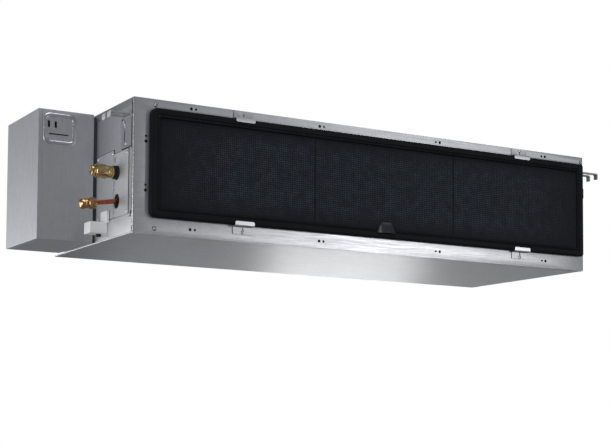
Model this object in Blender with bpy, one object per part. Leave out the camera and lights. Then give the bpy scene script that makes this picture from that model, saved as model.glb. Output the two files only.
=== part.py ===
"""Ducted air conditioner: a low, wide galvanised case that hangs from four lugs.

Air enters through the filter on the front (-Y), crosses the slanted coil, is drawn
into two centrifugal blowers and leaves through the collar at the back (+Y).
Metres, +Z up. The origin is the centre of the bottom panel's underside.
"""
import math

import bmesh
import bpy
from mathutils import Matrix, Vector

for old in list(bpy.data.objects):
    bpy.data.objects.remove(old, do_unlink=True)

# Case
BODY_WIDTH = 1.150
BODY_DEPTH = 0.430
BODY_HEIGHT = 0.270
SHEET = 0.0015
GAP = 0.0003
BURY = 0.0008
TRIM = 0.0002
BOTTOM_FLANGE = 0.039
TOP_FLANGE = 0.014
FOAM = 0.006

# Filter and its clips
FILTER_LEFT_INSET = 0.034
FILTER_RIGHT_INSET = 0.008
FILTER_BOTTOM = 0.033
FILTER_DROP = 0.019
FILTER_THICKNESS = 0.012
FILTER_RIM = 0.019
FILTER_CORNER = 0.014
FILTER_CHAMFER = 0.0025
FILTER_RIB_WIDTH = 0.004
WINDOW_LAP = 0.004
WINDOW_CORNER = 0.006
MESH_RECESS = 0.0035
MESH_THICKNESS = 0.0012
TAB_BOTTOM_WIDTH = 0.049
TAB_TOP_WIDTH = 0.026
TAB_HEIGHT = 0.0235
TAB_REACH = 0.008
TAB_CENTRE = 0.5865
GRIP_LENGTH = 0.027
GRIP_DROP = 0.0875
GRIP_REACH = 0.0035
TAB_LIFT = 0.003
CLIP_WIDTH = 0.044
CLIP_LAP = 0.0072
CLIP_TRAVEL = 0.0075
CLIP_RISER = 0.001
CLIP_FOOT = 0.018
CLIP_SPOTS = (0.242, 0.958)

# Fasteners and hole pairs
SCREW_RADIUS = 0.0020
SCREW_HEAD_RADIUS = 0.0036
SCREW_HEAD = 0.0020
SCREW_LENGTH = 0.006
LARGE_HOLE = 0.00225
SMALL_HOLE = 0.0015
PAIR_PITCH = 0.300
PAIR_FIRST = 0.125
PAIR_SPACING = 0.0105
PAIR_EDGE_TOP = 0.010
PAIR_EDGE_BOTTOM = 0.016
SIDE_PAIR_INSET = 0.027
FACE_SCREW_INSET = 0.012
FACE_SCREW_LEFT = 0.047
FACE_SCREW_RIGHT = 0.006
SIDE_PAIR_HIGH = 0.189
SIDE_PAIR_LOW = 0.0918

# Hanger lugs
LUG_SHEET = 0.0025
LUG_DROP = 0.035
LUG_REACH = 0.050
LUG_INSET = 0.003
LUG_WIDTH = 0.038
LUG_SLOT = 0.015
LUG_TIP_DROP = 0.014
LUG_LEG_WIDTH = 0.050
LUG_LEG_INSET = 0.005
LUG_LEG_DROP = 0.061
LUG_SLOT_ROOT = 0.010
LUG_SCREW_HIGH_INSET = 0.040
LUG_SCREW_HIGH_DROP = 0.013
LUG_SCREW_LOW_INSET = 0.030
LUG_SCREW_LOW_DROP = 0.053
LUG_RIB_INSET = 0.0365
LUG_RIB_WIDTH = 0.004
LUG_RIB_TOP_DROP = 0.027
LUG_RIB_LENGTH = 0.021

# Left wall plates and pipes
PLATE_SHEET = 0.0012
PIPE_PLATE_FRONT = 0.024
PIPE_PLATE_BACK = 0.098
PIPE_PLATE_DROP = 0.003
PLATE_BOTTOM = 0.042
COIL_PLATE_BACK = 0.188
COIL_PLATE_RISE = 0.008
PIPE_DEPTH = 0.081
GAS_SHARE = 89 / 129
GAS_PIPE_RADIUS = 0.0079
GAS_GROMMET_RADIUS = 0.0142
GAS_GROMMET_REACH = 0.009
GAS_UNION_RADIUS = 0.0122
GAS_UNION_LENGTH = 0.0115
GAS_NUT_FLATS = 0.0255
GAS_NUT_LENGTH = 0.026
GAS_CAP_RADIUS = 0.0105
GAS_CAP_LENGTH = 0.009
LIQUID_SHARE = 31.5 / 129
LIQUID_TILT = math.radians(9.0)
LIQUID_PIPE_RADIUS = 0.00475
LIQUID_REACH = 0.045
LIQUID_INNER_REACH = 0.022
DISTRIBUTOR_RADIUS = 0.009
DISTRIBUTOR_LENGTH = 0.020
LIQUID_NUT_FLATS = 0.0200
LIQUID_NUT_LENGTH = 0.016
LIQUID_CAP_RADIUS = 0.0105
LIQUID_CAP_LENGTH = 0.018
LIQUID_SLOT_WIDTH = 0.026
LIQUID_SLOT_HEIGHT = 0.030
GROMMET_RECESS = 0.0012
HEADER_RADIUS = 0.0095
HEADER_BOTTOM = 0.098
HEADER_DROP = 0.055
CHAMBER = 0.062

# Drain
DRAIN_FRONT = 0.125
DRAIN_DEPTH = 0.033
DRAIN_BOTTOM = 0.013
DRAIN_TOP = 0.0365
DRAIN_REACH = 0.038
DRAIN_TAB_HEIGHT = 0.023
DRAIN_TAB_REACH = 0.006
DRAIN_TAB_LAP = 0.010
DRAIN_TAB_WIDTH = 0.034
SPOUT_RADIUS = 0.009
PLUG_RADIUS = 0.0055
PLUG_STEM_RADIUS = 0.0040
PLUG_HEAD = 0.005
PLUG_STEM = 0.005
PAN_INSET = 0.020
PAN_FRONT = 0.040
PAN_BACK = 0.205
PAN_HEIGHT = 0.036
PAN_WALL = 0.008
PAN_FLOOR = 0.012

# Coil
COIL_FRONT = 0.062
COIL_FOOT = 0.046
COIL_ROOM = 0.038
COIL_THICKNESS = 0.048
COIL_TILT = math.radians(25.0)
FIN_GROOVES = 24
FIN_GROOVE_DEPTH = 0.006
TUBE_RADIUS = 0.0035
TUBE_ROWS = (0.015, 0.034)
TUBE_RUNS = 8
TUBE_FOOT = 0.019
TUBE_HEAD = 0.039
BEND_CLEARANCE = 0.004

# Blowers
ROTOR_BACK = 0.112
OUTLET_DROP = 0.038
SHAFT_RADIUS = 0.006
WHEEL_ROOM = 0.124
WHEEL_WIDTH = 0.246
WHEEL_CENTRE = 0.260
BLADE_COUNT = 18
BLADE_DEPTH = 0.012
BLADE_THICKNESS = 0.0014
RING_THICKNESS = 0.003
HUB_RADIUS = 0.013
HUB_LENGTH = 0.034
HOUSING_WIDTH = 0.270
HOUSING_WALL = 0.0015
SCROLL_CLEARANCE = 0.007
SCROLL_GROWTH = 0.030
CUTOFF_LIFT = math.radians(32.0)
INLET_LAP = 0.001
MOTOR_RADIUS = 0.050
MOTOR_LENGTH = 0.110
MOTOR_BOSS_RADIUS = 0.020
MOTOR_BOSS_LENGTH = 0.010
CRADLE_THICKNESS = 0.004
CRADLE_WIDTH = 0.120
CRADLE_FOOT = 0.150
CRADLE_BASE = 0.003
MOTOR_CHAMFER = 0.006
STRAP_WIDTH = 0.060
STRAP_THICKNESS = 0.002

# Discharge collar
COLLAR_HALF_WIDTH = 0.440
COLLAR_SILL = 0.018
COLLAR_DROP = 0.024
COLLAR_REACH = 0.025
COLLAR_LIP = 0.012

# Control box
BOX_STANDOFF = 0.006
BOX_WIDTH = 0.120
BOX_FRONT = 0.192
BOX_BACK = 0.384
BOX_LIFT = 0.0025
COVER_LIP = 0.008
BEAD_INSET = 0.0105
BEAD_WIDTH = 0.071
BEAD_DROP = 0.0065
BEAD_HEIGHT = 0.065
BEAD_CORNER = 0.014
BEAD_BAND = 0.006
BEAD_PROUD = 0.0012
BEAD_SLOPE = 0.0015
LOUVRE_FIRST = 0.011
LOUVRE_SECOND = 0.0265
LOUVRE_WIDTH = 0.003
LOUVRE_DROP = 0.018
LOUVRE_HEIGHT = 0.012
SLIT_START = 0.0125
SLIT_LENGTH = 0.0405
SLIT_DROP = 0.0427
SLIT_HEIGHT = 0.0018
RAIL_HEIGHT = 0.020
RAIL_BOTTOM = 0.060
RAIL_DROP = 0.070
RAIL_INSET = 0.014
BOARD_STANDOFF = 0.010
BOARD_SHEET = 0.0016
BOARD_INSET = 0.014
BOARD_WIDTH = 0.120
BOARD_DROP = 0.018
BOARD_HEIGHT = 0.127
STANDOFF_RADIUS = 0.003
STANDOFF_INSET = 0.006
TERMINAL_INSET = 0.016
TERMINAL_LENGTH = 0.090
TERMINAL_BOTTOM = 0.022
TERMINAL_HEIGHT = 0.026
TERMINAL_DEPTH = 0.024
TRANSFORMER_INSET = 0.118
TRANSFORMER_WIDTH = 0.050
TRANSFORMER_BOTTOM = 0.050
TRANSFORMER_HEIGHT = 0.048
TRANSFORMER_DEPTH = 0.040
CAPACITOR_RADIUS = 0.018
CAPACITOR_HEIGHT = 0.070
CAPACITOR_INSET = 0.162
CAPACITOR_LIFT = 0.037
GLAND_RADIUS = 0.010
GLAND_BORE = 0.005
GLAND_FLANGE = 0.014
GLAND_NECK = 0.009
GLAND_REACH = 0.016
GLAND_HEIGHT = 0.060

# What stands on the board: place, size and depth, as shares of its width
BOARD_BLOCKS = (
    (0.08, 0.12, 0.17, 0.15, 0.13),
    (0.30, 0.12, 0.17, 0.15, 0.13),
    (0.55, 0.10, 0.28, 0.25, 0.18),
    (0.10, 0.50, 0.25, 0.22, 0.12),
    (0.47, 0.58, 0.33, 0.12, 0.08),
    (0.17, 0.83, 0.50, 0.10, 0.10),
)

LEFT = -BODY_WIDTH / 2
RIGHT = BODY_WIDTH / 2
FRONT = -BODY_DEPTH / 2
BACK = BODY_DEPTH / 2
WALL_OUT = SHEET + GAP
WALL_IN = WALL_OUT + SHEET
INNER_TOP = BODY_HEIGHT - WALL_OUT
FILTER_LEFT = LEFT + FILTER_LEFT_INSET
FILTER_RIGHT = RIGHT - FILTER_RIGHT_INSET
FILTER_TOP = BODY_HEIGHT - FILTER_DROP
FILTER_FACE = FRONT - FILTER_THICKNESS
LUG_HEIGHT = BODY_HEIGHT - LUG_DROP
PIPE_PLATE_TOP = LUG_HEIGHT - LUG_LEG_DROP - PIPE_PLATE_DROP
COIL_PLATE_TOP = PIPE_PLATE_TOP + COIL_PLATE_RISE
PIPE_Y = FRONT + PIPE_DEPTH
GAS_HEIGHT = PLATE_BOTTOM + (PIPE_PLATE_TOP - PLATE_BOTTOM) * GAS_SHARE
LIQUID_HEIGHT = PLATE_BOTTOM + (PIPE_PLATE_TOP - PLATE_BOTTOM) * LIQUID_SHARE
COIL_LENGTH = (BODY_HEIGHT - COIL_FOOT - COIL_ROOM) / math.cos(COIL_TILT)
TUBE_PITCH = (COIL_LENGTH - TUBE_FOOT - TUBE_HEAD) / (TUBE_RUNS - 1)
WHEEL_RADIUS = (BODY_HEIGHT - WHEEL_ROOM) / 2
INLET_RADIUS = WHEEL_RADIUS - BLADE_DEPTH - INLET_LAP
SCROLL_START = WHEEL_RADIUS + SCROLL_CLEARANCE
SCROLL_END = SCROLL_START + SCROLL_GROWTH
ROTOR_HEIGHT = BODY_HEIGHT - OUTLET_DROP - SCROLL_END
OUTLET_BOTTOM = ROTOR_HEIGHT + SCROLL_START * math.sin(CUTOFF_LIFT)
OUTLET_TOP = ROTOR_HEIGHT + SCROLL_END
COLLAR_BOTTOM = ROTOR_HEIGHT + COLLAR_SILL
COLLAR_TOP = BODY_HEIGHT - COLLAR_DROP
BEAD_TOP = BODY_HEIGHT - BEAD_DROP
BEAD_BOTTOM = BEAD_TOP - BEAD_HEIGHT
ROTOR_Y = BACK - ROTOR_BACK
ROTOR_AXIS = Vector((0, ROTOR_Y, ROTOR_HEIGHT))
BOX_OUT = LEFT - BOX_STANDOFF - BOX_WIDTH
BOX_IN = LEFT - BOX_STANDOFF
BOX_BACKING = BOX_IN - SHEET - GAP


def make_material(name, colour, roughness, metallic):
    material = bpy.data.materials.new(name)
    material.use_nodes = True
    shader = material.node_tree.nodes["Principled BSDF"]
    shader.inputs["Base Color"].default_value = (*colour, 1)
    shader.inputs["Roughness"].default_value = roughness
    shader.inputs["Metallic"].default_value = metallic
    material.diffuse_color = (*colour, 1)
    return material


GALVANISED = make_material("galvanised_steel", (0.52, 0.53, 0.55), 0.38, 0.9)
ZINC = make_material("zinc_clips", (0.70, 0.71, 0.72), 0.35, 0.9)
BLACK_PLASTIC = make_material("black_plastic", (0.012, 0.012, 0.014), 0.5, 0)
NYLON_MESH = make_material("nylon_mesh", (0.012, 0.016, 0.024), 0.8, 0)
BRASS = make_material("brass", (0.62, 0.44, 0.18), 0.3, 1)
COPPER = make_material("copper", (0.62, 0.28, 0.17), 0.3, 1)
RUBBER = make_material("black_rubber", (0.015, 0.015, 0.016), 0.7, 0)
WHITE_PLASTIC = make_material("white_plastic", (0.78, 0.79, 0.78), 0.45, 0)
FOAM_BLACK = make_material("foam", (0.03, 0.03, 0.035), 0.95, 0)
ALUMINIUM = make_material("aluminium_fins", (0.66, 0.68, 0.70), 0.35, 1)
GREY_PAINT = make_material("motor_paint", (0.09, 0.09, 0.10), 0.5, 0)
BOARD_GREEN = make_material("board_green", (0.02, 0.12, 0.05), 0.5, 0)


def new_piece(name, shape, material, origin=None, round_piece=False):
    """Make one named object; its origin is the given point or its middle."""
    bmesh.ops.recalc_face_normals(shape, faces=shape.faces)
    if origin is None:
        low = Vector(min(v.co[i] for v in shape.verts) for i in range(3))
        high = Vector(max(v.co[i] for v in shape.verts) for i in range(3))
        origin = (low + high) / 2
    origin = Vector(origin)
    bmesh.ops.translate(shape, verts=shape.verts, vec=-origin)
    mesh = bpy.data.meshes.new(name)
    shape.to_mesh(mesh)
    shape.free()
    if round_piece:
        mesh.shade_smooth()
        mesh.set_sharp_from_angle(angle=math.radians(35))
    mesh.materials.append(material)
    piece = bpy.data.objects.new(name, mesh)
    piece.location = origin
    bpy.context.scene.collection.objects.link(piece)
    return piece


def along(axis, flat, distance):
    """A point from two flat coordinates and a distance along the axis."""
    a, b = flat
    return {"X": (distance, a, b), "Y": (a, distance, b), "Z": (a, b, distance)}[axis]


def add_loft(shape, loops):
    """Close a skin over matching loops, with a flat cap at each end."""
    rings = [[shape.verts.new(point) for point in loop] for loop in loops]
    count = len(rings[0])
    for ring, following in zip(rings, rings[1:]):
        for i in range(count):
            j = (i + 1) % count
            shape.faces.new((ring[i], ring[j], following[j], following[i]))
    shape.faces.new(rings[0])
    shape.faces.new(rings[-1])


def add_ring(shape, loops):
    """Close a skin over matching loops that come back to the first."""
    rings = [[shape.verts.new(point) for point in loop] for loop in loops]
    count = len(rings[0])
    for k, ring in enumerate(rings):
        following = rings[(k + 1) % len(rings)]
        for i in range(count):
            j = (i + 1) % count
            shape.faces.new((ring[i], ring[j], following[j], following[i]))


def add_prism(shape, outline, axis, start, end):
    add_loft(shape, [[along(axis, p, d) for p in outline] for d in (start, end)])


def add_box(shape, low, high):
    outline = ((low[0], low[1]), (high[0], low[1]), (high[0], high[1]), (low[0], high[1]))
    add_prism(shape, outline, "Z", low[2], high[2])


def circle(centre, radius, steps, turn=0.0):
    angles = [turn + 2 * math.pi * i / steps for i in range(steps)]
    return [(centre[0] + radius * math.cos(a), centre[1] + radius * math.sin(a)) for a in angles]


def rounded(low, high, radius, steps=4):
    """A rectangle with round corners, as flat points."""
    points = []
    corners = ((high[0], high[1], 0), (low[0], high[1], 1), (low[0], low[1], 2), (high[0], low[1], 3))
    for x, y, quarter in corners:
        middle_x = x - math.copysign(radius, x - (low[0] + high[0]) / 2)
        middle_y = y - math.copysign(radius, y - (low[1] + high[1]) / 2)
        for i in range(steps + 1):
            angle = math.pi / 2 * (quarter + i / steps)
            points.append((middle_x + radius * math.cos(angle), middle_y + radius * math.sin(angle)))
    return points


def square_corners(low, high):
    return [(high[0], high[1]), (low[0], high[1]), (low[0], low[1]), (high[0], low[1])]


def box(name, low, high, material, origin=None):
    shape = bmesh.new()
    add_box(shape, low, high)
    return new_piece(name, shape, material, origin)


def prism(name, outline, axis, start, end, material, origin=None, round_piece=False):
    shape = bmesh.new()
    add_prism(shape, outline, axis, start, end)
    return new_piece(name, shape, material, origin, round_piece)


def add_turned(shape, profile, centre, direction, steps):
    """Turn a closed profile of (radius, distance) about a line."""
    spin = Vector(direction).normalized().to_track_quat("Z", "Y")
    rings = []
    for i in range(steps):
        angle = 2 * math.pi * i / steps
        unit = Vector((math.cos(angle), math.sin(angle), 0))
        points = [Vector(centre) + spin @ (unit * r + Vector((0, 0, d))) for r, d in profile if r > 0]
        rings.append([shape.verts.new(point) for point in points])
    solid_start = profile[0][0] == 0
    count = len(rings[0])
    for k, ring in enumerate(rings):
        following = rings[(k + 1) % steps]
        last = count - 1 if solid_start else count
        for i in range(last):
            j = (i + 1) % count
            shape.faces.new((ring[i], ring[j], following[j], following[i]))
    if solid_start:
        shape.faces.new([ring[0] for ring in rings])
        shape.faces.new([ring[-1] for ring in rings])


def turned(name, profile, centre, direction, material, steps=24, origin=None):
    shape = bmesh.new()
    add_turned(shape, profile, centre, direction, steps)
    return new_piece(name, shape, material, origin, round_piece=True)


def rod(radius, length):
    return [(0, 0), (radius, 0), (radius, length), (0, length)]


def sleeve(bore, radius, length):
    return [(bore, 0), (radius, 0), (radius, length), (bore, length)]


def add_hex_sleeve(shape, bore, flats, length, centre, direction):
    """A six-sided nut with a round bore, as twelve matching points a loop."""
    spin = Vector(direction).normalized().to_track_quat("Z", "Y")
    loops = []
    for radius, distance in ((bore, 0), (None, 0), (None, length), (bore, length)):
        loop = []
        for i in range(12):
            angle = math.pi / 6 * i
            reach = radius or flats / 2 / math.cos(math.pi / 6 * (i % 2))
            flat = Vector((math.cos(angle) * reach, math.sin(angle) * reach, distance))
            loop.append(Vector(centre) + spin @ flat)
        loops.append(loop)
    add_ring(shape, loops)


def cutter(name, build):
    """A hidden guide body that a Boolean takes away or adds."""
    shape = bmesh.new()
    build(shape)
    guide = new_piece(name, shape, GALVANISED)
    guide.hide_render = True
    guide.display_type = "WIRE"
    return guide


def carve(piece, guide, operation="DIFFERENCE"):
    modifier = piece.modifiers.new(guide.name, "BOOLEAN")
    modifier.operation = operation
    modifier.solver = "EXACT"
    modifier.object = guide


def tube(name, runs, radius, material, sides=3):
    """Round tubes, one for each list of points."""
    curve = bpy.data.curves.new(name, "CURVE")
    curve.dimensions = "3D"
    curve.bevel_depth = radius
    curve.bevel_resolution = sides
    curve.use_fill_caps = True
    for points in runs:
        spline = curve.splines.new("POLY")
        spline.points.add(len(points) - 1)
        for target, point in zip(spline.points, points):
            target.co = (*point, 1)
    curve.materials.append(material)
    piece = bpy.data.objects.new(name, curve)
    bpy.context.scene.collection.objects.link(piece)
    return piece


def add_screw(shape, seat, direction, sides=10):
    """A pan-head screw: the head stands on the seat, the shank goes in."""
    profile = [
        (0, -SCREW_LENGTH),
        (SCREW_RADIUS, -SCREW_LENGTH),
        (SCREW_RADIUS, GAP),
        (SCREW_HEAD_RADIUS, GAP),
        (SCREW_HEAD_RADIUS * 0.8, SCREW_HEAD),
        (0, SCREW_HEAD),
    ]
    add_turned(shape, profile, seat, direction, sides)


def add_hole(shape, seat, direction, radius, depth=0.006, sides=10):
    start = Vector(seat) - Vector(direction) * depth
    add_turned(shape, rod(radius, 2 * depth), start, direction, sides)


# Places that several pieces share

def clip_edges():
    """Each clip: its name, its middle, the filter edge it laps and which way is out."""
    spots = []
    for side, spot in zip(("left", "right"), CLIP_SPOTS):
        for level, edge, out in (("top", FILTER_TOP, 1), ("bottom", FILTER_BOTTOM, -1)):
            spots.append((f"filter_clip_{level}_{side}", LEFT + spot, edge, out))
    return spots


CLIP_SLOT_HALF = SCREW_RADIUS + GAP
CLIP_OPEN = CLIP_RISER + SHEET + GAP + SCREW_HEAD_RADIUS
CLIP_SCREW = CLIP_OPEN + CLIP_TRAVEL


def clip_screw_seats():
    face = FRONT - GAP - SHEET
    return [(x, face, edge + out * CLIP_SCREW) for _, x, edge, out in clip_edges()]


def face_screw_seats():
    high = BODY_HEIGHT - FACE_SCREW_INSET
    low = FACE_SCREW_INSET
    left = LEFT + FACE_SCREW_LEFT
    right = RIGHT - FACE_SCREW_RIGHT
    return [(left, FRONT, high), (right, FRONT, high), (left, FRONT, low), (right, FRONT, low)]


def hole_pairs():
    """The round holes around the return face, as (x, z, radius)."""
    holes = []
    for level in (BODY_HEIGHT - PAIR_EDGE_TOP, PAIR_EDGE_BOTTOM):
        for i in range(4):
            x = LEFT + PAIR_FIRST + i * PAIR_PITCH
            radii = (LARGE_HOLE, SMALL_HOLE) if i < 2 else (SMALL_HOLE, LARGE_HOLE)
            holes.append((x, level, radii[0]))
            holes.append((x + PAIR_SPACING, level, radii[1]))
    for middle in (SIDE_PAIR_HIGH, SIDE_PAIR_LOW):
        holes.append((LEFT + SIDE_PAIR_INSET, middle + PAIR_SPACING / 2, SMALL_HOLE))
        holes.append((LEFT + SIDE_PAIR_INSET, middle - PAIR_SPACING / 2, LARGE_HOLE))
    return holes


def lug_places():
    """Each lug: its name, which way is out, and its front edge and way inwards."""
    places = []
    for side, wall, out in (("left", LEFT, -1), ("right", RIGHT, 1)):
        places.append((f"hanger_lug_front_{side}", wall, out, FRONT + LUG_INSET, 1))
        places.append((f"hanger_lug_rear_{side}", wall, out, BACK - LUG_INSET, -1))
    return places


def lug_screw_seats():
    spots = (
        (LUG_SCREW_HIGH_INSET, LUG_HEIGHT - LUG_SCREW_HIGH_DROP),
        (LUG_SCREW_LOW_INSET, LUG_HEIGHT - LUG_SCREW_LOW_DROP),
    )
    seats = []
    for _, wall, out, edge, inward in lug_places():
        face = wall - out * (WALL_OUT - GAP - LUG_SHEET)
        for depth, height in spots:
            seats.append(((face, edge + inward * depth, height), (out, 0, 0)))
    return seats


SPOUT_CENTRE = (FRONT + DRAIN_FRONT + DRAIN_DEPTH / 2, (DRAIN_BOTTOM + DRAIN_TOP) / 2)


# Case

def make_top_panel():
    down = BODY_HEIGHT - TOP_FLANGE
    outline = [
        (LEFT, down), (LEFT + SHEET, down), (LEFT + SHEET, BODY_HEIGHT - SHEET),
        (RIGHT - SHEET, BODY_HEIGHT - SHEET), (RIGHT - SHEET, down), (RIGHT, down),
        (RIGHT, BODY_HEIGHT), (LEFT, BODY_HEIGHT),
    ]
    prism("top_panel", outline, "Y", FRONT + WALL_OUT, BACK, GALVANISED)
    inset = WALL_IN + SCREW_LENGTH
    low = (LEFT + inset, FRONT + inset, INNER_TOP - FOAM)
    high = (RIGHT - inset, BACK - inset, INNER_TOP)
    box("top_insulation", low, high, FOAM_BLACK)


def make_bottom_panel():
    outline = [
        (LEFT, 0), (RIGHT, 0), (RIGHT, BOTTOM_FLANGE), (RIGHT - SHEET, BOTTOM_FLANGE),
        (RIGHT - SHEET, SHEET), (LEFT + SHEET, SHEET), (LEFT + SHEET, BOTTOM_FLANGE),
        (LEFT, BOTTOM_FLANGE),
    ]
    panel = prism("bottom_panel", outline, "Y", FRONT + WALL_OUT, BACK, GALVANISED)
    carve(panel, spout_cutter("bottom_panel_cut"))


def spout_cutter(name):
    def build(shape):
        start = (LEFT - 0.010, *SPOUT_CENTRE)
        add_turned(shape, rod(SPOUT_RADIUS + GAP, 0.022), start, (1, 0, 0), 20)
    return cutter(name, build)


def pipe_cutter(name):
    """The holes that the two pipes pass, through the wall and its cover plate."""
    def build(shape):
        start = LEFT - 0.010
        end = LEFT + 0.012
        add_prism(shape, circle((PIPE_Y, GAS_HEIGHT), GAS_GROMMET_RADIUS + GAP, 24), "X", start, end)
        low = (PIPE_Y - LIQUID_SLOT_WIDTH / 2, LIQUID_HEIGHT - LIQUID_SLOT_HEIGHT / 2)
        high = (PIPE_Y + LIQUID_SLOT_WIDTH / 2, LIQUID_HEIGHT + LIQUID_SLOT_HEIGHT / 2)
        add_prism(shape, rounded(low, high, LIQUID_SLOT_WIDTH * 0.45), "X", start, end)
    return cutter(name, build)


def make_side_panels():
    for side, wall, out in (("left", LEFT, -1), ("right", RIGHT, 1)):
        outer = wall - out * WALL_OUT
        inner = wall - out * WALL_IN
        low = (min(outer, inner), FRONT + WALL_OUT, WALL_OUT)
        high = (max(outer, inner), BACK - WALL_OUT, INNER_TOP)
        panel = box(f"{side}_side_panel", low, high, GALVANISED)

        def build(shape, out=out):
            for seat, direction in lug_screw_seats():
                if direction[0] == out:
                    add_hole(shape, seat, direction, SCREW_RADIUS + GAP, depth=0.010)
        carve(panel, cutter(f"{side}_side_panel_holes", build))
        if side == "left":
            carve(panel, spout_cutter("left_side_panel_spout"))
            carve(panel, pipe_cutter("left_side_panel_pipes"))


def make_return_frame():
    frame = box("return_frame", (LEFT, FRONT, 0), (RIGHT, FRONT + SHEET, BODY_HEIGHT), GALVANISED)

    def build(shape):
        lap = FILTER_RIM + WINDOW_LAP
        low = (FILTER_LEFT + lap, FILTER_BOTTOM + lap)
        high = (FILTER_RIGHT - lap, FILTER_TOP - lap)
        add_prism(shape, rounded(low, high, WINDOW_CORNER, 2), "Y", FRONT - 0.005, FRONT + 0.005)
        for x, z, radius in hole_pairs():
            add_hole(shape, (x, FRONT, z), (0, -1, 0), radius, sides=8)
        for x, _, z in clip_screw_seats() + face_screw_seats():
            add_hole(shape, (x, FRONT, z), (0, -1, 0), SCREW_RADIUS + GAP, sides=8)
    carve(frame, cutter("return_frame_holes", build))


def make_discharge_side():
    low = (LEFT + WALL_OUT, BACK - SHEET, WALL_OUT)
    high = (RIGHT - WALL_OUT, BACK, INNER_TOP)
    panel = box("discharge_panel", low, high, GALVANISED)

    def build(shape):
        for middle in (-WHEEL_CENTRE, WHEEL_CENTRE):
            half = HOUSING_WIDTH / 2 - HOUSING_WALL
            outline = square_corners(
                (middle - half, OUTLET_BOTTOM + HOUSING_WALL),
                (middle + half, OUTLET_TOP - HOUSING_WALL),
            )
            add_prism(shape, outline, "Y", BACK - 0.006, BACK + 0.004)
    carve(panel, cutter("discharge_panel_cut", build))

    start = BACK + GAP
    section = [
        (0, 0), (COLLAR_LIP, 0), (COLLAR_LIP, SHEET), (SHEET, SHEET), (SHEET, COLLAR_REACH), (0, COLLAR_REACH),
    ]
    shape = bmesh.new()
    loops = []
    for offset, distance in section:
        flat = square_corners(
            (-COLLAR_HALF_WIDTH - offset, COLLAR_BOTTOM - offset),
            (COLLAR_HALF_WIDTH + offset, COLLAR_TOP + offset),
        )
        loops.append([along("Y", p, start + distance) for p in flat])
    add_ring(shape, loops)
    new_piece("discharge_collar", shape, GALVANISED)


def make_wall_plates():
    out = LEFT + WALL_OUT - GAP - PLATE_SHEET
    back = LEFT + WALL_OUT - GAP
    low = (out, FRONT + PIPE_PLATE_FRONT, PLATE_BOTTOM)
    high = (back, FRONT + PIPE_PLATE_BACK, PIPE_PLATE_TOP)
    plate = box("pipe_cover_plate", low, high, GALVANISED)
    carve(plate, pipe_cutter("pipe_cover_plate_cut"))
    low = (out, FRONT + PIPE_PLATE_BACK + GAP, PLATE_BOTTOM)
    high = (back, FRONT + COIL_PLATE_BACK, COIL_PLATE_TOP)
    box("coil_cover_plate", low, high, GALVANISED)


def make_hanger_lugs():
    """A forked shelf with bent-down tips on an upright leg."""
    for name, wall, out, edge, inward in lug_places():
        shape = bmesh.new()
        leg_back = wall - out * (WALL_OUT - GAP)
        leg_face = leg_back + out * LUG_SHEET
        tip = wall + out * LUG_REACH
        shelf_top = LUG_HEIGHT + LUG_SHEET
        leg_start = edge + inward * LUG_LEG_INSET
        leg_edges = sorted((leg_start, leg_start + inward * LUG_LEG_WIDTH))
        add_box(
            shape,
            (min(leg_back, leg_face), leg_edges[0], LUG_HEIGHT - LUG_LEG_DROP),
            (max(leg_back, leg_face), leg_edges[1], shelf_top),
        )
        lug = new_piece(name, shape, ZINC)

        def build(shape, leg_back=leg_back, tip=tip, edge=edge, inward=inward, out=out):
            prong = (LUG_WIDTH - LUG_SLOT) / 2
            root = leg_back + out * BURY
            slot_end = leg_back + out * (LUG_SHEET + LUG_SLOT_ROOT)
            a, b, c, d = (edge + inward * y for y in (0, prong, LUG_WIDTH - prong, LUG_WIDTH))
            fork = [
                (root, a), (tip, a), (tip, b), (slot_end, b), (slot_end, c), (tip, c), (tip, d), (root, d),
            ]
            add_prism(shape, fork, "Z", LUG_HEIGHT, LUG_HEIGHT + LUG_SHEET)
        carve(lug, cutter(f"{name}_fork", build), "UNION")

        def build_tips(shape, tip=tip, edge=edge, inward=inward, out=out):
            prong = (LUG_WIDTH - LUG_SLOT) / 2
            low_x, high_x = sorted((tip, tip - out * LUG_SHEET))
            low_z = LUG_HEIGHT + LUG_SHEET - LUG_TIP_DROP
            for start in (0, LUG_WIDTH - prong):
                ends = (edge + inward * (start + TRIM), edge + inward * (start + prong - TRIM))
                add_box(shape, (low_x, min(ends), low_z), (high_x, max(ends), LUG_HEIGHT + BURY))
        carve(lug, cutter(f"{name}_tips", build_tips), "UNION")

        def build_holes(shape, out=out, edge=edge, inward=inward, wall=wall):
            for seat, direction in lug_screw_seats():
                if direction[0] == out and abs(seat[1] - edge) < LUG_LEG_WIDTH:
                    add_hole(shape, seat, direction, SCREW_RADIUS + GAP, depth=0.010)
            start = edge + inward * LUG_RIB_INSET
            low_y, high_y = sorted((start, start + inward * LUG_RIB_WIDTH))
            top = LUG_HEIGHT - LUG_RIB_TOP_DROP
            outline = square_corners((low_y, top - LUG_RIB_LENGTH), (high_y, top))
            add_prism(shape, outline, "X", wall - 0.006, wall + 0.006)
        carve(lug, cutter(f"{name}_holes", build_holes))


def make_screws():
    for (name, *_), seat in zip(clip_edges(), clip_screw_seats()):
        shape = bmesh.new()
        add_screw(shape, seat, (0, -1, 0))
        new_piece(name.replace("filter_clip", "clip_screw"), shape, ZINC, round_piece=True)


# Filter

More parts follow.
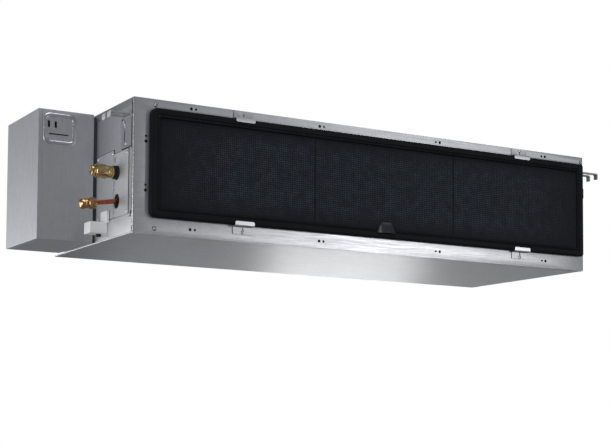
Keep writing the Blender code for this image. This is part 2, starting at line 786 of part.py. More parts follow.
def make_filter():
    """A rim with a recessed mesh, two ribs behind it, a pull tab and a side grip."""
    origin = Vector((FILTER_RIGHT, FILTER_FACE, FILTER_BOTTOM))
    back = FRONT - GAP
    section = [
        (0, back), (0, FILTER_FACE + FILTER_CHAMFER), (-FILTER_CHAMFER, FILTER_FACE),
        (-FILTER_RIM + FILTER_CHAMFER, FILTER_FACE), (-FILTER_RIM, FILTER_FACE + FILTER_CHAMFER),
        (-FILTER_RIM, back),
    ]
    shape = bmesh.new()
    loops = []
    for offset, distance in section:
        low = (FILTER_LEFT - offset, FILTER_BOTTOM - offset)
        high = (FILTER_RIGHT + offset, FILTER_TOP + offset)
        radius = max(FILTER_CORNER + offset, FILTER_CORNER * 0.25)
        loops.append([along("Y", p, distance) for p in rounded(low, high, radius)])
    add_ring(shape, loops)
    frame = new_piece("filter_frame", shape, BLACK_PLASTIC, origin)

    mesh_front = FILTER_FACE + MESH_RECESS
    mesh_back = mesh_front + MESH_THICKNESS
    window_low = (FILTER_LEFT + FILTER_RIM, FILTER_BOTTOM + FILTER_RIM)
    window_high = (FILTER_RIGHT - FILTER_RIM, FILTER_TOP - FILTER_RIM)

    def build(shape):
        span = window_high[0] - window_low[0]
        for share in (1, 2):
            middle = window_low[0] + span * share / 3
            low = (middle - FILTER_RIB_WIDTH / 2, mesh_back + GAP, window_low[1] - 0.002)
            high = (middle + FILTER_RIB_WIDTH / 2, back - 0.0005, window_high[1] + 0.002)
            add_box(shape, low, high)
        grip = BODY_HEIGHT - GRIP_DROP
        low = (FILTER_RIGHT - 0.002, FILTER_FACE + 0.003, grip - GRIP_LENGTH / 2)
        high = (FILTER_RIGHT + GRIP_REACH, FRONT - 0.002, grip + GRIP_LENGTH / 2)
        add_box(shape, low, high)
    carve(frame, cutter("filter_ribs_and_grip", build), "UNION")

    low = (window_low[0] + GAP, window_low[1] + GAP)
    high = (window_high[0] - GAP, window_high[1] - GAP)
    outline = rounded(low, high, FILTER_CORNER * 0.25)
    prism("filter_mesh", outline, "Y", mesh_front, mesh_back, NYLON_MESH, origin)

    shape = bmesh.new()
    middle = LEFT + TAB_CENTRE
    seat = FILTER_FACE - GAP
    bottom = FILTER_BOTTOM + CLIP_LAP + TAB_LIFT
    top = bottom + TAB_HEIGHT
    loops = []
    for z, width, reach in ((bottom, TAB_BOTTOM_WIDTH, TAB_REACH), (top, TAB_TOP_WIDTH, TAB_REACH * 0.2)):
        half = width / 2
        loops.append([(middle - half, seat, z), (middle + half, seat, z),
                      (middle + half, seat - reach, z), (middle - half, seat - reach, z)])
    add_loft(shape, loops)
    new_piece("filter_pull_tab", shape, BLACK_PLASTIC, origin)


def make_clips():
    """Bent strips: a slotted foot on the face, a riser, and a lip over the filter."""
    for name, x, edge, out in clip_edges():
        shape = bmesh.new()
        face = FRONT - GAP
        lip = FILTER_FACE - GAP
        far = edge + out * CLIP_FOOT
        riser_in = edge + out * CLIP_RISER
        riser_out = edge + out * (CLIP_RISER + SHEET)
        tip = edge - out * CLIP_LAP
        outline = [
            (face, far), (face, riser_in), (lip, riser_in), (lip, tip),
            (lip - SHEET, tip), (lip - SHEET, riser_out), (face - SHEET, riser_out), (face - SHEET, far),
        ]
        add_prism(shape, outline, "X", x - CLIP_WIDTH / 2, x + CLIP_WIDTH / 2)
        clip = new_piece(name, shape, ZINC, (x, face, edge))

        def build(shape, x=x, edge=edge, out=out):
            near, far = CLIP_OPEN - CLIP_SLOT_HALF, CLIP_SCREW + CLIP_SLOT_HALF
            ends = sorted((edge + out * near, edge + out * far))
            low = (x - CLIP_SLOT_HALF, ends[0])
            high = (x + CLIP_SLOT_HALF, ends[1])
            add_prism(shape, rounded(low, high, CLIP_SLOT_HALF * 0.98, 3), "Y", FRONT - 0.005, FRONT + 0.003)
        carve(clip, cutter(f"{name}_slot", build))


# Coil, pan and pipes

def coil_point(thickness, length):
    """A point of the slanted coil's section, from its front lower corner."""
    sine, cosine = math.sin(COIL_TILT), math.cos(COIL_TILT)
    y = FRONT + COIL_FRONT + length * sine + thickness * cosine
    z = COIL_FOOT + length * cosine - thickness * sine
    return y, z


def make_coil():
    left = LEFT + CHAMBER
    right = RIGHT - CHAMBER
    pan_floor = WALL_OUT + PAN_FLOOR
    ends = (("left", left), ("right", right))
    for side, x in ends:
        start = x if side == "left" else x - SHEET
        outline = [
            coil_point(0, 0), coil_point(0, COIL_LENGTH), coil_point(COIL_THICKNESS, COIL_LENGTH),
            coil_point(COIL_THICKNESS, 0), (coil_point(COIL_THICKNESS, 0)[0], pan_floor + GAP),
            (coil_point(0, 0)[0], pan_floor + GAP),
        ]
        prism(f"coil_end_plate_{side}", outline, "X", start, start + SHEET, GALVANISED)

    fins_left = left + SHEET + GAP
    fins_right = right - SHEET - GAP
    pitch = (fins_right - fins_left) / FIN_GROOVES
    comb = [(fins_left, COIL_THICKNESS), (fins_left, 0)]
    for i in range(FIN_GROOVES - 1):
        x = fins_left + (i + 1) * pitch
        comb += [(x - pitch * 0.15, 0), (x - pitch * 0.15, FIN_GROOVE_DEPTH)]
        comb += [(x + pitch * 0.15, FIN_GROOVE_DEPTH), (x + pitch * 0.15, 0)]
    comb += [(fins_right, 0), (fins_right, COIL_THICKNESS)]
    shape = bmesh.new()
    add_loft(shape, [[(x, *coil_point(t, s)) for x, t in comb] for s in (0, COIL_LENGTH)])
    new_piece("evaporator_fins", shape, ALUMINIUM)

    names = ("coil_end_plate_left", "coil_end_plate_right", "evaporator_fins")
    levels = [TUBE_FOOT + TUBE_PITCH * k for k in range(TUBE_RUNS)]
    for name, row in zip(("coil_tubes_front", "coil_tubes_rear"), TUBE_ROWS):
        tube(name, [tube_path(row, levels, left, right)], TUBE_RADIUS, COPPER, 1)

    def build(shape):
        for row in TUBE_ROWS:
            for level in levels:
                seat = coil_point(row, level)
                radius = (TUBE_RADIUS + GAP) / math.cos(math.pi / 8)
                add_prism(shape, circle(seat, radius, 8), "X", left - 0.005, right + 0.005)
    bores = cutter("coil_bores", build)
    for name in names:
        carve(bpy.data.objects[name], bores)


def tube_path(row, levels, left, right):
    """One tube that runs to and fro through the fins, with a bend past each end plate."""
    points = [(left - BEND_CLEARANCE, *coil_point(row, levels[0]))]
    for k, level in enumerate(levels):
        end, out = (right, 1) if k % 2 == 0 else (left, -1)
        if k == len(levels) - 1:
            points.append((end + out * BEND_CLEARANCE, *coil_point(row, level)))
            break
        for i in range(7):
            angle = math.pi * i / 6
            reach = out * (BEND_CLEARANCE + TUBE_PITCH / 2 * math.sin(angle))
            middle = level + TUBE_PITCH / 2 * (1 - math.cos(angle))
            points.append((end + reach, *coil_point(row, middle)))
    return points


def make_drain():
    """The pan under the coil, its outlet block on the wall and the outlet's plug."""
    low = Vector((LEFT + PAN_INSET, FRONT + PAN_FRONT, WALL_OUT))
    high = Vector((RIGHT - PAN_INSET, FRONT + PAN_BACK, PAN_HEIGHT))
    pan = box("drain_pan", low, high, WHITE_PLASTIC)
    spout_end = low.x + PAN_WALL + 0.004

    def build(shape):
        wall = Vector((PAN_WALL, PAN_WALL, PAN_FLOOR))
        add_box(shape, low + wall, (high.x - PAN_WALL, high.y - PAN_WALL, PAN_HEIGHT + 0.010))
    carve(pan, cutter("drain_pan_hollow", build))

    def build_hole(shape):
        start = (low.x - 0.004, *SPOUT_CENTRE)
        add_turned(shape, rod(SPOUT_RADIUS + GAP, PAN_WALL + 0.010), start, (1, 0, 0), 20)
    carve(pan, cutter("drain_pan_hole", build_hole))

    face = LEFT - GAP
    block_low = (LEFT - DRAIN_REACH, FRONT + DRAIN_FRONT, DRAIN_BOTTOM)
    block_high = (face, FRONT + DRAIN_FRONT + DRAIN_DEPTH, DRAIN_TOP)
    block = box("drain_outlet", block_low, block_high, WHITE_PLASTIC)
    plug_centre = (LEFT - DRAIN_REACH * 0.35, FRONT + DRAIN_FRONT + DRAIN_DEPTH * 0.45, DRAIN_BOTTOM)

    def build_extras(shape):
        start = FRONT + DRAIN_FRONT - DRAIN_TAB_LAP
        tab_low = (face - DRAIN_TAB_REACH, start, DRAIN_TOP - 0.003)
        tab_high = (face - TRIM, start + DRAIN_TAB_WIDTH, DRAIN_TOP + DRAIN_TAB_HEIGHT)
        add_box(shape, tab_low, tab_high)

    def build_spout(shape):
        start = (face - 0.004, *SPOUT_CENTRE)
        spout = sleeve(SPOUT_RADIUS * 0.7, SPOUT_RADIUS, spout_end - face + 0.004)
        add_turned(shape, spout, start, (1, 0, 0), 20)
    carve(block, cutter("drain_outlet_tab", build_extras), "UNION")
    carve(block, cutter("drain_outlet_spout", build_spout), "UNION")

    def build_bore(shape):
        start = Vector(plug_centre) - Vector((0, 0, 0.002))
        add_turned(shape, rod(PLUG_STEM_RADIUS + GAP, PLUG_STEM + 0.003), start, (0, 0, 1), 12)
    carve(block, cutter("drain_outlet_bore", build_bore))

    profile = [
        (0, -GAP - PLUG_HEAD), (PLUG_RADIUS, -GAP - PLUG_HEAD), (PLUG_RADIUS, -GAP),
        (PLUG_STEM_RADIUS, -GAP), (PLUG_STEM_RADIUS, PLUG_STEM), (0, PLUG_STEM),
    ]
    turned("drain_plug", profile, plug_centre, (0, 0, 1), RUBBER, 16, origin=plug_centre)


def make_gas_line():
    """Grommet, union, flare nut and end cap on one level pipe, and the header inside."""
    axis = (-1, 0, 0)
    header_x = LEFT + CHAMBER / 2
    inner = header_x - HEADER_RADIUS - GAP
    nut_start = LEFT - GAS_GROMMET_REACH - GAS_UNION_LENGTH - 2 * GAP
    nut_end = nut_start - GAS_NUT_LENGTH
    bore = GAS_PIPE_RADIUS + GAP
    line = (PIPE_Y, GAS_HEIGHT)
    turned("gas_pipe", rod(GAS_PIPE_RADIUS, inner - nut_end), (inner, *line), axis, COPPER, 20)
    grommet_start = LEFT + WALL_IN + 0.002
    length = grommet_start - LEFT + GAS_GROMMET_REACH
    turned("gas_grommet", sleeve(bore, GAS_GROMMET_RADIUS, length), (grommet_start, *line), axis, RUBBER)
    union_start = LEFT - GAS_GROMMET_REACH - GAP
    turned("gas_union", sleeve(bore, GAS_UNION_RADIUS, GAS_UNION_LENGTH), (union_start, *line), axis, BRASS)
    shape = bmesh.new()
    add_hex_sleeve(shape, bore, GAS_NUT_FLATS, GAS_NUT_LENGTH, (nut_start, *line), axis)
    new_piece("gas_flare_nut", shape, BRASS, (nut_start, *line))
    cap = [(0, GAP), (GAS_CAP_RADIUS, GAP), (GAS_CAP_RADIUS, GAS_CAP_LENGTH * 0.7),
           (GAS_CAP_RADIUS * 0.75, GAS_CAP_LENGTH), (0, GAS_CAP_LENGTH)]
    turned("gas_cap", cap, (nut_end, *line), axis, BRASS, origin=(nut_start, *line))
    header = [(header_x, PIPE_Y, HEADER_BOTTOM), (header_x, PIPE_Y, BODY_HEIGHT - HEADER_DROP)]
    tube("gas_header", [header], HEADER_RADIUS, COPPER)


def make_liquid_line():
    """A thin pipe that slopes out of its slot, with its nut, cap and distributor."""
    axis = Vector((-math.cos(LIQUID_TILT), 0, -math.sin(LIQUID_TILT)))
    wall_point = Vector((LEFT, PIPE_Y, LIQUID_HEIGHT))
    bore = LIQUID_PIPE_RADIUS + GAP
    start = wall_point - axis * LIQUID_INNER_REACH
    nut_point = wall_point + axis * LIQUID_REACH
    length = LIQUID_INNER_REACH + LIQUID_REACH + LIQUID_NUT_LENGTH
    turned("liquid_pipe", rod(LIQUID_PIPE_RADIUS, length), start, axis, COPPER, 16)
    shape = bmesh.new()
    add_hex_sleeve(shape, bore, LIQUID_NUT_FLATS, LIQUID_NUT_LENGTH, nut_point, axis)
    new_piece("liquid_flare_nut", shape, BRASS, nut_point)
    cap_point = nut_point + axis * LIQUID_NUT_LENGTH
    radius, reach = LIQUID_CAP_RADIUS, LIQUID_CAP_LENGTH
    cap = [(0, GAP), (radius * 0.7, GAP), (radius, reach * 0.3), (radius, reach * 0.7),
           (radius * 0.6, reach), (0, reach)]
    turned("liquid_cap", cap, cap_point, axis, BRASS, 20, origin=nut_point)
    low = (PIPE_Y - LIQUID_SLOT_WIDTH / 2 + GAP, LIQUID_HEIGHT - LIQUID_SLOT_HEIGHT / 2 + GAP)
    high = (PIPE_Y + LIQUID_SLOT_WIDTH / 2 - GAP, LIQUID_HEIGHT + LIQUID_SLOT_HEIGHT / 2 - GAP)
    outline = rounded(low, high, LIQUID_SLOT_WIDTH * 0.45 - GAP)
    grommet = prism("liquid_grommet", outline, "X", LEFT + GROMMET_RECESS, LEFT + WALL_IN + 0.002, RUBBER)

    def build(shape):
        add_turned(shape, rod(bore, 0.024), wall_point - axis * 0.012, axis, 12)
    carve(grommet, cutter("liquid_grommet_bore", build))

    seat = start - axis * GAP
    wide, reach = DISTRIBUTOR_RADIUS, DISTRIBUTOR_LENGTH
    profile = [(0, 0), (LIQUID_PIPE_RADIUS, 0), (wide, reach * 0.4), (wide, reach), (0, reach)]
    turned("liquid_distributor", profile, seat, -axis, BRASS, 16)


# Blowers

def scroll_outline(inset):
    """The housing's section: a spiral that opens into a level throat."""
    points = []
    steps = 22
    sweep = math.radians(270) + CUTOFF_LIFT
    for i in range(steps + 1):
        share = i / steps
        angle = CUTOFF_LIFT - sweep * share
        radius = SCROLL_START + (SCROLL_END - SCROLL_START) * share - inset
        points.append((ROTOR_Y + radius * math.cos(angle), ROTOR_HEIGHT + radius * math.sin(angle)))
    outlet = BACK - WALL_OUT + (0.010 if inset else 0)  # a cutter goes past the end
    points.append((outlet, OUTLET_TOP - inset))
    points.append((outlet, OUTLET_BOTTOM + inset))
    points[0] = (points[0][0], OUTLET_BOTTOM + inset)
    return points


def make_blower_housing(side, middle):
    half = HOUSING_WIDTH / 2
    name = f"blower_housing_{side}"
    housing = prism(name, scroll_outline(0), "X", middle - half, middle + half, GALVANISED, round_piece=True)

    def build(shape):
        inner = half - HOUSING_WALL
        add_prism(shape, scroll_outline(HOUSING_WALL), "X", middle - inner, middle + inner)

    def build_inlets(shape):
        outline = circle((ROTOR_Y, ROTOR_HEIGHT), INLET_RADIUS, 32)
        add_prism(shape, outline, "X", middle - half - 0.005, middle + half + 0.005)
    carve(housing, cutter(f"{name}_hollow", build))
    carve(housing, cutter(f"{name}_inlets", build_inlets))


def make_blower_wheel(side, middle):
    """End rings, a middle disc on a hub, and forward-curved blades between them."""
    half = WHEEL_WIDTH / 2
    inner = WHEEL_RADIUS - BLADE_DEPTH
    shape = bmesh.new()
    centre = Vector((middle, ROTOR_Y, ROTOR_HEIGHT))
    axis = (1, 0, 0)
    for start in (-half, half - RING_THICKNESS):
        ring_start = centre + Vector((start, 0, 0))
        add_turned(shape, sleeve(inner, WHEEL_RADIUS, RING_THICKNESS), ring_start, axis, BLADE_COUNT)
    bore = SHAFT_RADIUS + GAP
    disc = [
        (bore, -HUB_LENGTH / 2), (HUB_RADIUS, -HUB_LENGTH / 2), (HUB_RADIUS, -RING_THICKNESS / 2),
        (WHEEL_RADIUS, -RING_THICKNESS / 2), (WHEEL_RADIUS, RING_THICKNESS / 2),
        (HUB_RADIUS, RING_THICKNESS / 2), (HUB_RADIUS, HUB_LENGTH / 2), (bore, HUB_LENGTH / 2),
    ]
    add_turned(shape, disc, centre, axis, BLADE_COUNT)
    wheel = new_piece(f"blower_wheel_{side}", shape, BLACK_PLASTIC, centre)

    def build(shape):
        reach = half - RING_THICKNESS / 2
        for k in range(BLADE_COUNT):
            turn = 2 * math.pi * (k + 0.5) / BLADE_COUNT
            outer_side, inner_side = [], []
            for share in (0, 0.5, 1):
                radius = inner + 0.0010 + (BLADE_DEPTH - 0.0020) * share
                lean = turn - 0.16 * share ** 2
                slip = BLADE_THICKNESS / 2 / radius
                outer_side.append((radius, lean + slip))
                inner_side.append((radius, lean - slip))
            loop = outer_side + inner_side[::-1]
            outline = [(ROTOR_Y + r * math.cos(a), ROTOR_HEIGHT + r * math.sin(a)) for r, a in loop]
            add_prism(shape, outline, "X", middle - reach, middle + reach)
    carve(wheel, cutter(f"blower_wheel_{side}_blades", build), "UNION")


def make_motor():
    half = MOTOR_LENGTH / 2
    bore = SHAFT_RADIUS + GAP
    boss = half + MOTOR_BOSS_LENGTH
    profile = [
        (bore, -boss), (MOTOR_BOSS_RADIUS, -boss), (MOTOR_BOSS_RADIUS, -half), (MOTOR_RADIUS * 0.9, -half),
        (MOTOR_RADIUS, MOTOR_CHAMFER - half), (MOTOR_RADIUS, half - MOTOR_CHAMFER),
        (MOTOR_RADIUS * 0.9, half), (MOTOR_BOSS_RADIUS, half), (MOTOR_BOSS_RADIUS, boss), (bore, boss),
    ]
    turned("fan_motor", profile, ROTOR_AXIS, (1, 0, 0), GREY_PAINT, 32)
    reach = WHEEL_CENTRE + HUB_LENGTH / 2
    start = ROTOR_AXIS - Vector((reach, 0, 0))
    turned("motor_shaft", rod(SHAFT_RADIUS, 2 * reach), start, (1, 0, 0), ZINC, 16, origin=ROTOR_AXIS)

    low = (-MOTOR_LENGTH / 2, ROTOR_Y - CRADLE_FOOT / 2, WALL_OUT)
    high = (MOTOR_LENGTH / 2, ROTOR_Y + CRADLE_FOOT / 2, WALL_OUT + CRADLE_BASE)
    cradle = box("motor_cradle", low, high, GALVANISED)
    saddle = MOTOR_RADIUS + GAP
    top = ROTOR_HEIGHT

    def build(shape):
        half_width = CRADLE_WIDTH / 2
        for x in (-MOTOR_LENGTH * 0.36, MOTOR_LENGTH * 0.36):
            arc = []
            for i in range(17):
                angle = math.pi * (1 + i / 16)
                arc.append((ROTOR_Y + saddle * math.cos(angle), top + saddle * math.sin(angle)))
            outline = [(ROTOR_Y - half_width, top), *arc, (ROTOR_Y + half_width, top),
                       (ROTOR_Y + half_width, WALL_OUT + BURY), (ROTOR_Y - half_width, WALL_OUT + BURY)]
            add_prism(shape, outline, "X", x - CRADLE_THICKNESS / 2, x + CRADLE_THICKNESS / 2)
    carve(cradle, cutter("motor_cradle_saddles", build), "UNION")

    ear_low = top + GAP
    ear_high = ear_low + STRAP_THICKNESS
    outer = saddle + STRAP_THICKNESS
    outline = [(ROTOR_Y + CRADLE_WIDTH / 2, ear_low), (ROTOR_Y + CRADLE_WIDTH / 2, ear_high)]
    outline += half_circle(outer, math.asin((ear_high - top) / outer), 1)
    outline += [(ROTOR_Y - CRADLE_WIDTH / 2, ear_high), (ROTOR_Y - CRADLE_WIDTH / 2, ear_low)]
    outline += half_circle(saddle, math.asin(GAP / saddle), -1)
    prism("motor_strap", outline, "X", -STRAP_WIDTH / 2, STRAP_WIDTH / 2, ZINC)


def half_circle(radius, start, way):
    """Points over the rotor's axis, from one side to the other."""
    points = []
    for i in range(17):
        angle = start + (math.pi - 2 * start) * i / 16
        if way < 0:
            angle = math.pi - angle
        points.append((ROTOR_Y + radius * math.cos(angle), ROTOR_HEIGHT + radius * math.sin(angle)))
    return points


# Control box

def make_control_box():
    front = FRONT + BOX_FRONT
    back = FRONT + BOX_BACK
    seam = BOX_OUT + COVER_LIP
    tray = box("control_box_tray", (seam + GAP, front, BOX_LIFT), (BOX_IN, back, BODY_HEIGHT), GALVANISED)
    middle = (BOX_OUT, (front + back) / 2, BODY_HEIGHT / 2)
    cover_low, cover_high = (BOX_OUT, front, BOX_LIFT), (seam, back, BODY_HEIGHT)
    cover = box("control_box_cover", cover_low, cover_high, GALVANISED, middle)
    inner_low = (front + SHEET, BOX_LIFT + SHEET)
    inner_high = (back - SHEET, BODY_HEIGHT - SHEET)

    def build_tray(shape):
        add_prism(shape, square_corners(inner_low, inner_high), "X", seam - 0.010, BOX_IN - SHEET)

    def build_cover(shape):
        add_prism(shape, square_corners(inner_low, inner_high), "X", BOX_OUT + SHEET, seam + 0.010)
    carve(tray, cutter("control_box_tray_hollow", build_tray))
    carve(cover, cutter("control_box_cover_hollow", build_cover))

    bead_left = BOX_OUT + BEAD_INSET
    bead_right = bead_left + BEAD_WIDTH
    gland_centre = (BOX_OUT + BOX_WIDTH / 2, back, GLAND_HEIGHT)

    def build_bead(shape):
        loops = []
        flat = BEAD_BAND / 2
        section = [
            (0, front + SHEET / 2), (-BEAD_SLOPE, front - BEAD_PROUD),
            (-flat - BEAD_SLOPE, front - BEAD_PROUD), (-BEAD_BAND, front + SHEET / 2),
        ]
        for offset, distance in section:
            low = (bead_left - offset, BEAD_BOTTOM - offset)
            high = (bead_right + offset, BEAD_TOP + offset)
            loops.append([along("Y", p, distance) for p in rounded(low, high, BEAD_CORNER + offset)])
        add_ring(shape, loops)
    carve(tray, cutter("control_box_bead", build_bead), "UNION")

    def build_slots(shape):
        for x in (bead_left + LOUVRE_FIRST, bead_left + LOUVRE_SECOND):
            top = BEAD_TOP - LOUVRE_DROP
            low = (x - LOUVRE_WIDTH / 2, top - LOUVRE_HEIGHT)
            slot = square_corners(low, (x + LOUVRE_WIDTH / 2, top))
            add_prism(shape, slot, "Y", front - 0.003, front + 0.003)
        start, top = bead_left + SLIT_START, BEAD_TOP - SLIT_DROP
        outline = square_corners((start, top - SLIT_HEIGHT), (start + SLIT_LENGTH, top))
        add_prism(shape, outline, "Y", front - 0.003, front + 0.003)
        add_hole(shape, gland_centre, (0, 1, 0), GLAND_RADIUS + GAP, sides=16)
    carve(tray, cutter("control_box_slots", build_slots))

    low_y, high_y = front + RAIL_INSET, back - RAIL_INSET
    middle = (low_y + high_y) / 2
    web = RAIL_HEIGHT / 2
    under, over = RAIL_BOTTOM, BODY_HEIGHT - RAIL_DROP
    outline = [
        (low_y, under), (high_y, under), (high_y, under + RAIL_HEIGHT), (middle + web, under + RAIL_HEIGHT),
        (middle + web, over), (high_y, over), (high_y, over + RAIL_HEIGHT), (low_y, over + RAIL_HEIGHT),
        (low_y, over), (middle - web, over),
        (middle - web, under + RAIL_HEIGHT), (low_y, under + RAIL_HEIGHT),
    ]
    prism("control_box_bracket", outline, "X", BOX_IN + GAP, LEFT + WALL_OUT - GAP, GALVANISED)

    gland = [
        (GLAND_BORE, -SCREW_LENGTH), (GLAND_RADIUS, -SCREW_LENGTH), (GLAND_RADIUS, GAP),
        (GLAND_FLANGE, GAP), (GLAND_FLANGE, GLAND_REACH / 2),
        (GLAND_NECK, GLAND_REACH), (GLAND_BORE, GLAND_REACH),
    ]
    turned("cable_gland", gland, gland_centre, (0, 1, 0), BLACK_PLASTIC, 20)


def make_control_parts():
    """The board with its standoffs, the terminals, the capacitor and the transformer."""
    front = FRONT + BOX_FRONT
    wall = BOX_BACKING
    board_back = wall - BOARD_STANDOFF
    board_face = board_back - BOARD_SHEET
    low_y = front + BOARD_INSET
    high_y = low_y + BOARD_WIDTH
    high_z = BODY_HEIGHT - BOARD_DROP
    low_z = high_z - BOARD_HEIGHT
    board = box("control_board", (board_face, low_y, low_z), (board_back, high_y, high_z), BOARD_GREEN)

    def build(shape):
        for shares in BOARD_BLOCKS:
            y, z, wide, tall, deep = (share * BOARD_WIDTH for share in shares)
            high = (board_back - BOARD_SHEET / 2, low_y + y + wide, low_z + z + tall)
            add_box(shape, (board_face - deep, low_y + y, low_z + z), high)
        standoff = rod(STANDOFF_RADIUS, BOARD_STANDOFF + BOARD_SHEET / 2)
        for y in (low_y + STANDOFF_INSET, high_y - STANDOFF_INSET):
            for z in (low_z + STANDOFF_INSET, high_z - STANDOFF_INSET):
                add_turned(shape, standoff, (wall, y, z), (-1, 0, 0), 10)
    carve(board, cutter("control_board_parts", build), "UNION")
    low = (wall - TERMINAL_DEPTH, front + TERMINAL_INSET, TERMINAL_BOTTOM)
    high = (wall, front + TERMINAL_INSET + TERMINAL_LENGTH, TERMINAL_BOTTOM + TERMINAL_HEIGHT)
    box("terminal_block", low, high, WHITE_PLASTIC)
    low = (wall - TRANSFORMER_DEPTH, front + TRANSFORMER_INSET, TRANSFORMER_BOTTOM)
    high = (wall, front + TRANSFORMER_INSET + TRANSFORMER_WIDTH, TRANSFORMER_BOTTOM + TRANSFORMER_HEIGHT)
    box("transformer", low, high, GREY_PAINT)
    centre = (wall - CAPACITOR_RADIUS, front + CAPACITOR_INSET, high[2] + CAPACITOR_LIFT)
    turned("run_capacitor", rod(CAPACITOR_RADIUS, CAPACITOR_HEIGHT), centre, (0, 0, 1), ALUMINIUM, 24)


make_top_panel()
make_bottom_panel()
make_side_panels()
make_return_frame()
make_discharge_side()
make_wall_plates()
make_hanger_lugs()
make_screws()
make_filter()
make_clips()
make_coil()
make_drain()
make_gas_line()
make_liquid_line()
for blower_side, blower_middle in (("left", -WHEEL_CENTRE), ("right", WHEEL_CENTRE)):
    make_blower_housing(blower_side, blower_middle)
    make_blower_wheel(blower_side, blower_middle)
make_motor()
make_control_box()
make_control_parts()
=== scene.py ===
import math

import bmesh
import bpy
from mathutils import Matrix, Vector


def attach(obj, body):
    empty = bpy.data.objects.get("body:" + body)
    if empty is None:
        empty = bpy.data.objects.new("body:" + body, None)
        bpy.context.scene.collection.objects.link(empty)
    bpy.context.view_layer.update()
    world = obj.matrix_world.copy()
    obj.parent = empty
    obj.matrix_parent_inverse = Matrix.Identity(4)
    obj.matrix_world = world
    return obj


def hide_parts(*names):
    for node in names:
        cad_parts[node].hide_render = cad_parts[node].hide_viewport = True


# Looks of a ducted air conditioner: galvanised case, black filter, brass unions.
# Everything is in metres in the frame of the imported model, width along X, front facing -Y.
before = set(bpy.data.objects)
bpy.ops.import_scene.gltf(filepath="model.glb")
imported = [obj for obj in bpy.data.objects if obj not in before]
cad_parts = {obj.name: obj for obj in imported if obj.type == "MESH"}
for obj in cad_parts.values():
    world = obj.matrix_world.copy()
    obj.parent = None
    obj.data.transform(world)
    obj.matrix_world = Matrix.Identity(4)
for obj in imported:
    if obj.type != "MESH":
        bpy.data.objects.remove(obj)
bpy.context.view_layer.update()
print("frame loaded,", len(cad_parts), "nodes")


# Materials

def linear(hexColour):
    values = [int(hexColour[i:i + 2], 16) / 255 for i in (1, 3, 5)]
    return tuple(v / 12.92 if v <= 0.04045 else ((v + 0.055) / 1.055) ** 2.4 for v in values) + (1,)


def setInput(tree, socket, value):
    # A node or a socket is linked, a hex colour is turned linear and a plain value is set
    if isinstance(value, bpy.types.Node):
        value = value.outputs[0]
    if isinstance(value, bpy.types.NodeSocket):
        tree.links.new(value, socket)
    else:
        socket.default_value = linear(value) if isinstance(value, str) else value


def addNode(tree, kind, inputs=None, **settings):
    node = tree.nodes.new("ShaderNode" + kind)
    for name, value in settings.items():
        setattr(node, name, value)
    for key, value in (inputs or {}).items():
        setInput(tree, node.inputs[key], value)
    return node


def startFinish(name, colour, roughness, metallic=0.0, **extras):
    finish = bpy.data.materials.new(name)
    finish.use_nodes = True
    tree = finish.node_tree
    settings = {"Base Color": colour, "Roughness": roughness, "Metallic": metallic, **extras}
    for key, value in settings.items():
        setInput(tree, tree.nodes["Principled BSDF"].inputs[key], value)
    return finish, tree, addNode(tree, "TexCoord").outputs["Object"]


def dress(finish, blend, roughness=None, relief=None, strength=0.0, depth=0.0):
    # Gives a finish two colours blended by a share, an uneven roughness and a relief of a depth
    tree = finish.node_tree
    shader = tree.nodes["Principled BSDF"]
    share, first, second = blend
    colour = addNode(tree, "Mix", {0: share, 6: first, 7: second}, data_type="RGBA").outputs[2]
    setInput(tree, shader.inputs["Base Color"], colour)
    if roughness:
        setInput(tree, shader.inputs["Roughness"], roughness)
    if relief:
        bump = addNode(tree, "Bump", {"Height": relief, "Strength": strength, "Distance": depth})
        setInput(tree, shader.inputs["Normal"], bump)
    return finish


def sheetSteel(name, light, dark, roughness, rolled, metallic=0.82, paintedLight=None):
    # Hot-dip galvanised steel sheet. Zinc freezes in spangles of 8 to 12 mm, which show as
    # faint patches of tone, rolling leaves fine lines along the sheet's length, and the whole
    # clouds a little over about 110 mm.
    finish, tree, place = startFinish(name, light, roughness, metallic)
    spangle = 0.009
    patches = addNode(tree, "TexVoronoi", {"Vector": place, "Scale": 1 / spangle, "Randomness": 1.0})
    grey = addNode(tree, "SeparateColor", {0: patches.outputs["Color"]})
    cells = [1 / size for size in rolled]  # one unit of the strip's coordinates is one cell of noise
    strip = addNode(tree, "VectorMath", {0: place, 1: cells}, operation="MULTIPLY")
    lines = addNode(tree, "TexNoise", {"Vector": strip, "Scale": 1.0, "Detail": 3.0, "Roughness": 0.6})
    cloud = addNode(tree, "TexNoise", {"Vector": place, "Scale": 9.0, "Detail": 2.0})
    tone = None
    shares = ((grey, 0, 1, 0.14), (lines, 0.3, 0.7, 0.3), (cloud, 0.35, 0.65, 0.1))
    for noise, low, high, share in shares:
        part = addNode(tree, "MapRange", {0: noise, 1: low, 2: high, 3: 0.0, 4: share})
        tone = addNode(tree, "Math", {0: tone, 1: part}, operation="ADD") if tone else part
    blend = (tone, light, dark)
    if paintedLight:
        # Painted light: past a place along one axis the sheet is painted lighter, as if it caught more
        # light
        axis, start, end, lighter = paintedLight
        along = addNode(tree, "SeparateXYZ", {0: place}).outputs[axis]
        share = addNode(tree, "MapRange", {0: along, 1: start, 2: end})
        plain = addNode(tree, "Mix", {0: tone, 6: light, 7: dark}, data_type="RGBA").outputs[2]
        blend = (share, plain, lighter)
    uneven = addNode(tree, "MapRange", {
        0: lines, 1: 0.25, 2: 0.75, 3: roughness - 0.05, 4: roughness + 0.07})
    return dress(finish, blend, uneven, lines, 0.06, 0.0004)


